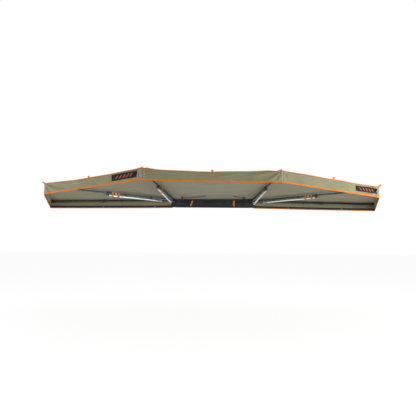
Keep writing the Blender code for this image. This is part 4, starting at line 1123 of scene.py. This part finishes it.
# The guy loops: flat orange webbing, both ends sewn under the piping, that stands or hangs from the canopy's
# edge and takes the ropes. Each row is a valance, the share of its length, the loop's height and its lean.
LOOP_WIDTH, LOOP_CLOTH = 0.027, 0.0014
LOOPS = (("left_front_panel_valance", 0.50, 0.028, 0.9), ("right_front_panel_valance", 0.50, 0.040, 0.2),
         ("left_front_panel_valance", 0.010, 0.052, 3.0), ("right_front_panel_valance", 0.010, 0.062, 2.0),
         ("left_centre_valance", 0.524, 0.026, 0.3), ("left_centre_valance", 0.012, 0.014, 0.6),
         ("right_centre_valance", 0.80, 0.018, 0.6), ("left_rear_panel_valance", 0.5, 0.040, 1.5),
         ("right_rear_panel_valance", 0.5, 0.040, 1.5))
for number, (key, share, height, lean) in enumerate(LOOPS, 1):
    grid, outward = hung[key]
    along, upward = along_edge(grid), unit(Z_AXIS + lean * outward)
    turn = np.linspace(-0.35 * math.pi, 1.35 * math.pi, 26)
    out = 0.0045 * np.cos(turn) * (1.0 + 0.4 * np.sin(turn))
    rise = (height + 0.004) * (0.5 + 0.5 * np.sin(turn)) - 0.004
    foot = grid[0, int(round(share * (grid.shape[1] - 1)))] + 0.005 * outward
    path = foot + out[:, None] * unit(np.cross(along, upward)) + rise[:, None] * upward
    away = unit(np.cross(unit(np.gradient(path, axis=0)), along))
    mesh = carried(f"guy_loop_{number}", path, along, away, strip(LOOP_WIDTH, LOOP_CLOTH))
    trim(mesh, orange_webbing, key, "strap_orange")

# The badges: a black cloth panel on each side's front valance, bound in dark tape. Each has five plain
# slanted bars of orange embroidery, satin stitched a little proud of the cloth.
BADGES = (("left_front_panel_valance", "front", 0.058, 0.022, 0.108),
          ("right_front_panel_valance", "side", 0.050, 0.030, 0.104))
BADGE_LENGTH, BADGE_CLOTH = 0.404, 0.0009
BADGE_TAPE, BADGE_TAPE_CLOTH = 0.006, 0.0009
BARS, BAR_WIDTH, BAR_PITCH = 5, 0.016, 0.060
BAR_SLANT, BAR_HEIGHT = 0.036, 0.0013
badge_cloth = coated_cloth("black_badge_cloth", "#0c0e12", "#15181d", 0.3, 0.08, 0.8)
badge_thread = webbing("orange_satin_stitch", "#d56a26", "#b7592a", 0.5, "#e9a468")
dome = np.linspace(-1, 1, 9)
bar_profile = np.stack([dome * BAR_WIDTH / 2, BAR_HEIGHT * (1 - dome ** 4)], axis=-1)

for key, end, inset, top_depth, foot_depth in BADGES:
    grid, outward = hung[key]
    front_corner = edge_tops["left", "centre"][0] if "left" in key else edge_tops["right", "centre"][-1]
    begins_front = np.linalg.norm(grid[0, 0] - front_corner) < np.linalg.norm(grid[0, -1] - front_corner)
    begin = inset if begins_front == (end == "front") else lengths_along(grid[0])[-1] - inset - BADGE_LENGTH
    depth = np.linspace(top_depth, foot_depth, 16)[:, None]
    along, depth = np.broadcast_arrays(np.linspace(begin, begin + BADGE_LENGTH, 60), depth)
    face = on_valance(grid, along, depth) + (BADGE_CLOTH + SEWN_GAP) * outward
    mesh = cloth(f"{key}_badge", face, np.stack([along, depth], axis=-1), BADGE_CLOTH, outward)
    trim(mesh, (badge_cloth, badge_cloth), key, "cover_black")
    rim = rim_of(face)
    tangent = unit(np.roll(rim, -1, axis=0) - np.roll(rim, 1, axis=0))
    tape = strip(BADGE_TAPE, BADGE_TAPE_CLOTH)
    mesh = carried(f"{key}_badge_binding", rim, unit(np.cross(tangent, outward)), outward, tape, True)
    trim(mesh, zip_cloth, key, "cover_black")
    for number in range(BARS):
        middle = begin + BADGE_LENGTH / 2 + (number - (BARS - 1) / 2) * BAR_PITCH
        run = np.linspace(-0.5, 0.5, 9)
        depth = (top_depth + foot_depth) / 2 + run * (foot_depth - top_depth) / 2
        line = on_valance(grid, middle - run * BAR_SLANT, depth) + (BADGE_CLOTH + LAYER_GAP) * outward
        name = f"{key}_badge_bar_{number + 1}"
        mesh = carried(name, line, along_edge(grid), outward, bar_profile, sharp=60.0)
        trim(mesh, badge_thread, key, "strap_orange")

# The canopy's rear edge: a cord sewn into a flap of the cloth, drawn into the rail's track. Two tabs of black
# webbing with moulded buckles hang from the cloth near the rail, to tie the folded awning. Their long tails
# run to the cross seam.
KEDER_RADIUS = 0.0023
FLAP_RISE, FLAP_HALF = 0.0062, 0.0006
TIES = (("left", -0.56, -0.42, 0.2), ("right", 0.565, -0.40, 0.65))
TIE_WIDTH, TIE_CLOTH = 0.025, 0.0014
TIE_FALL, TIE_BOW = (0, -0.006, 0.038), 0.002
TAIL_WIDTH, TAIL_CLOTH = 0.011, 0.0012
TAIL_DROP = 0.010
BUCKLE = ((0.004, 0.014, 0.0030), (0.0, 0.017, 0.0046), (-0.006, 0.018, 0.0052), (-0.020, 0.018, 0.0052),
          (-0.030, 0.015, 0.0044), (-0.034, 0.010, 0.0026))

track_low, track_high = box("canopy_rail")
groove = (track_low[1] + track_high[1]) / 2
cord_level = track_low[2] + 0.0042
cord_line = np.array([[x, groove, cord_level] for x in np.linspace(track_low[0], track_high[0], 60)])
mesh = carried("keder_cord", cord_line, Y_AXIS, Z_AXIS, ring(KEDER_RADIUS, 14), sharp=60.0)
shown(mesh, piping_cloth, "rail", "canopy_khaki")
flap_line = cord_line + [0, 0, KEDER_RADIUS - 0.0004]
flap = ((0.0, -FLAP_HALF), (FLAP_RISE, -FLAP_HALF), (FLAP_RISE, FLAP_HALF), (0.0, FLAP_HALF))
shown(carried("keder_flap", flap_line, Z_AXIS, Y_AXIS, flap), seam_cloth, "rail", "canopy_khaki")

buckle_nylon = moulded("black_buckle_nylon", "#1a1c1e", "#2b2e30")
buckle_outline = rounded(1.0, 1.0, 0.6, 3)
level, half_width, half_depth = np.array(BUCKLE).T[:, :, None, None]
for word, x, y, far_share in TIES:
    key = "left_centre_panel_inner"
    cell = np.unravel_index(np.argmin(np.hypot(centre[..., 0] - x, centre[..., 1] - y)), centre.shape[:2])
    fall = np.linspace(0, 1, 14)[:, None]
    path = centre[cell] - CANOPY_CLOTH * Z_AXIS - fall * TIE_FALL + TIE_BOW * np.sin(3 * fall) * Y_AXIS
    aside = np.cross(unit(np.gradient(path, axis=0)), X_AXIS)
    mesh = carried(f"{word}_tie_webbing", path, X_AXIS, aside, strip(TIE_WIDTH, TIE_CLOTH))
    trim(mesh, black_webbing, key, "cover_black")
    far = centre[cross_row, int(np.argmin(np.abs(centre[cross_row, :, 0] - x * far_share)))]
    run = np.linspace(0, 1, 40)[:, None]
    tail = path[4] * (1 - run) + far * run - TAIL_DROP * (run + np.sin(math.pi * run)) * Z_AXIS
    aside = unit(np.cross(unit(np.gradient(tail, axis=0)), Z_AXIS))
    mesh = carried(f"{word}_tie_tail", tail, Z_AXIS, aside, strip(TAIL_WIDTH, TAIL_CLOTH))
    trim(mesh, black_webbing, key, "cover_black")
    points = path[-1] + level * Z_AXIS + half_width * buckle_outline[:, :1] * X_AXIS
    points = points + half_depth * buckle_outline[:, 1:] * Y_AXIS
    rows, columns = points.shape[:2]
    faces = quads(rows, columns, False, True).tolist() + end_faces(rows, columns)
    marks = np.zeros((sum(len(face) for face in faces), 2))
    trim(solid(f"{word}_tie_buckle", points, faces, marks), buckle_nylon, key, "casting_black")
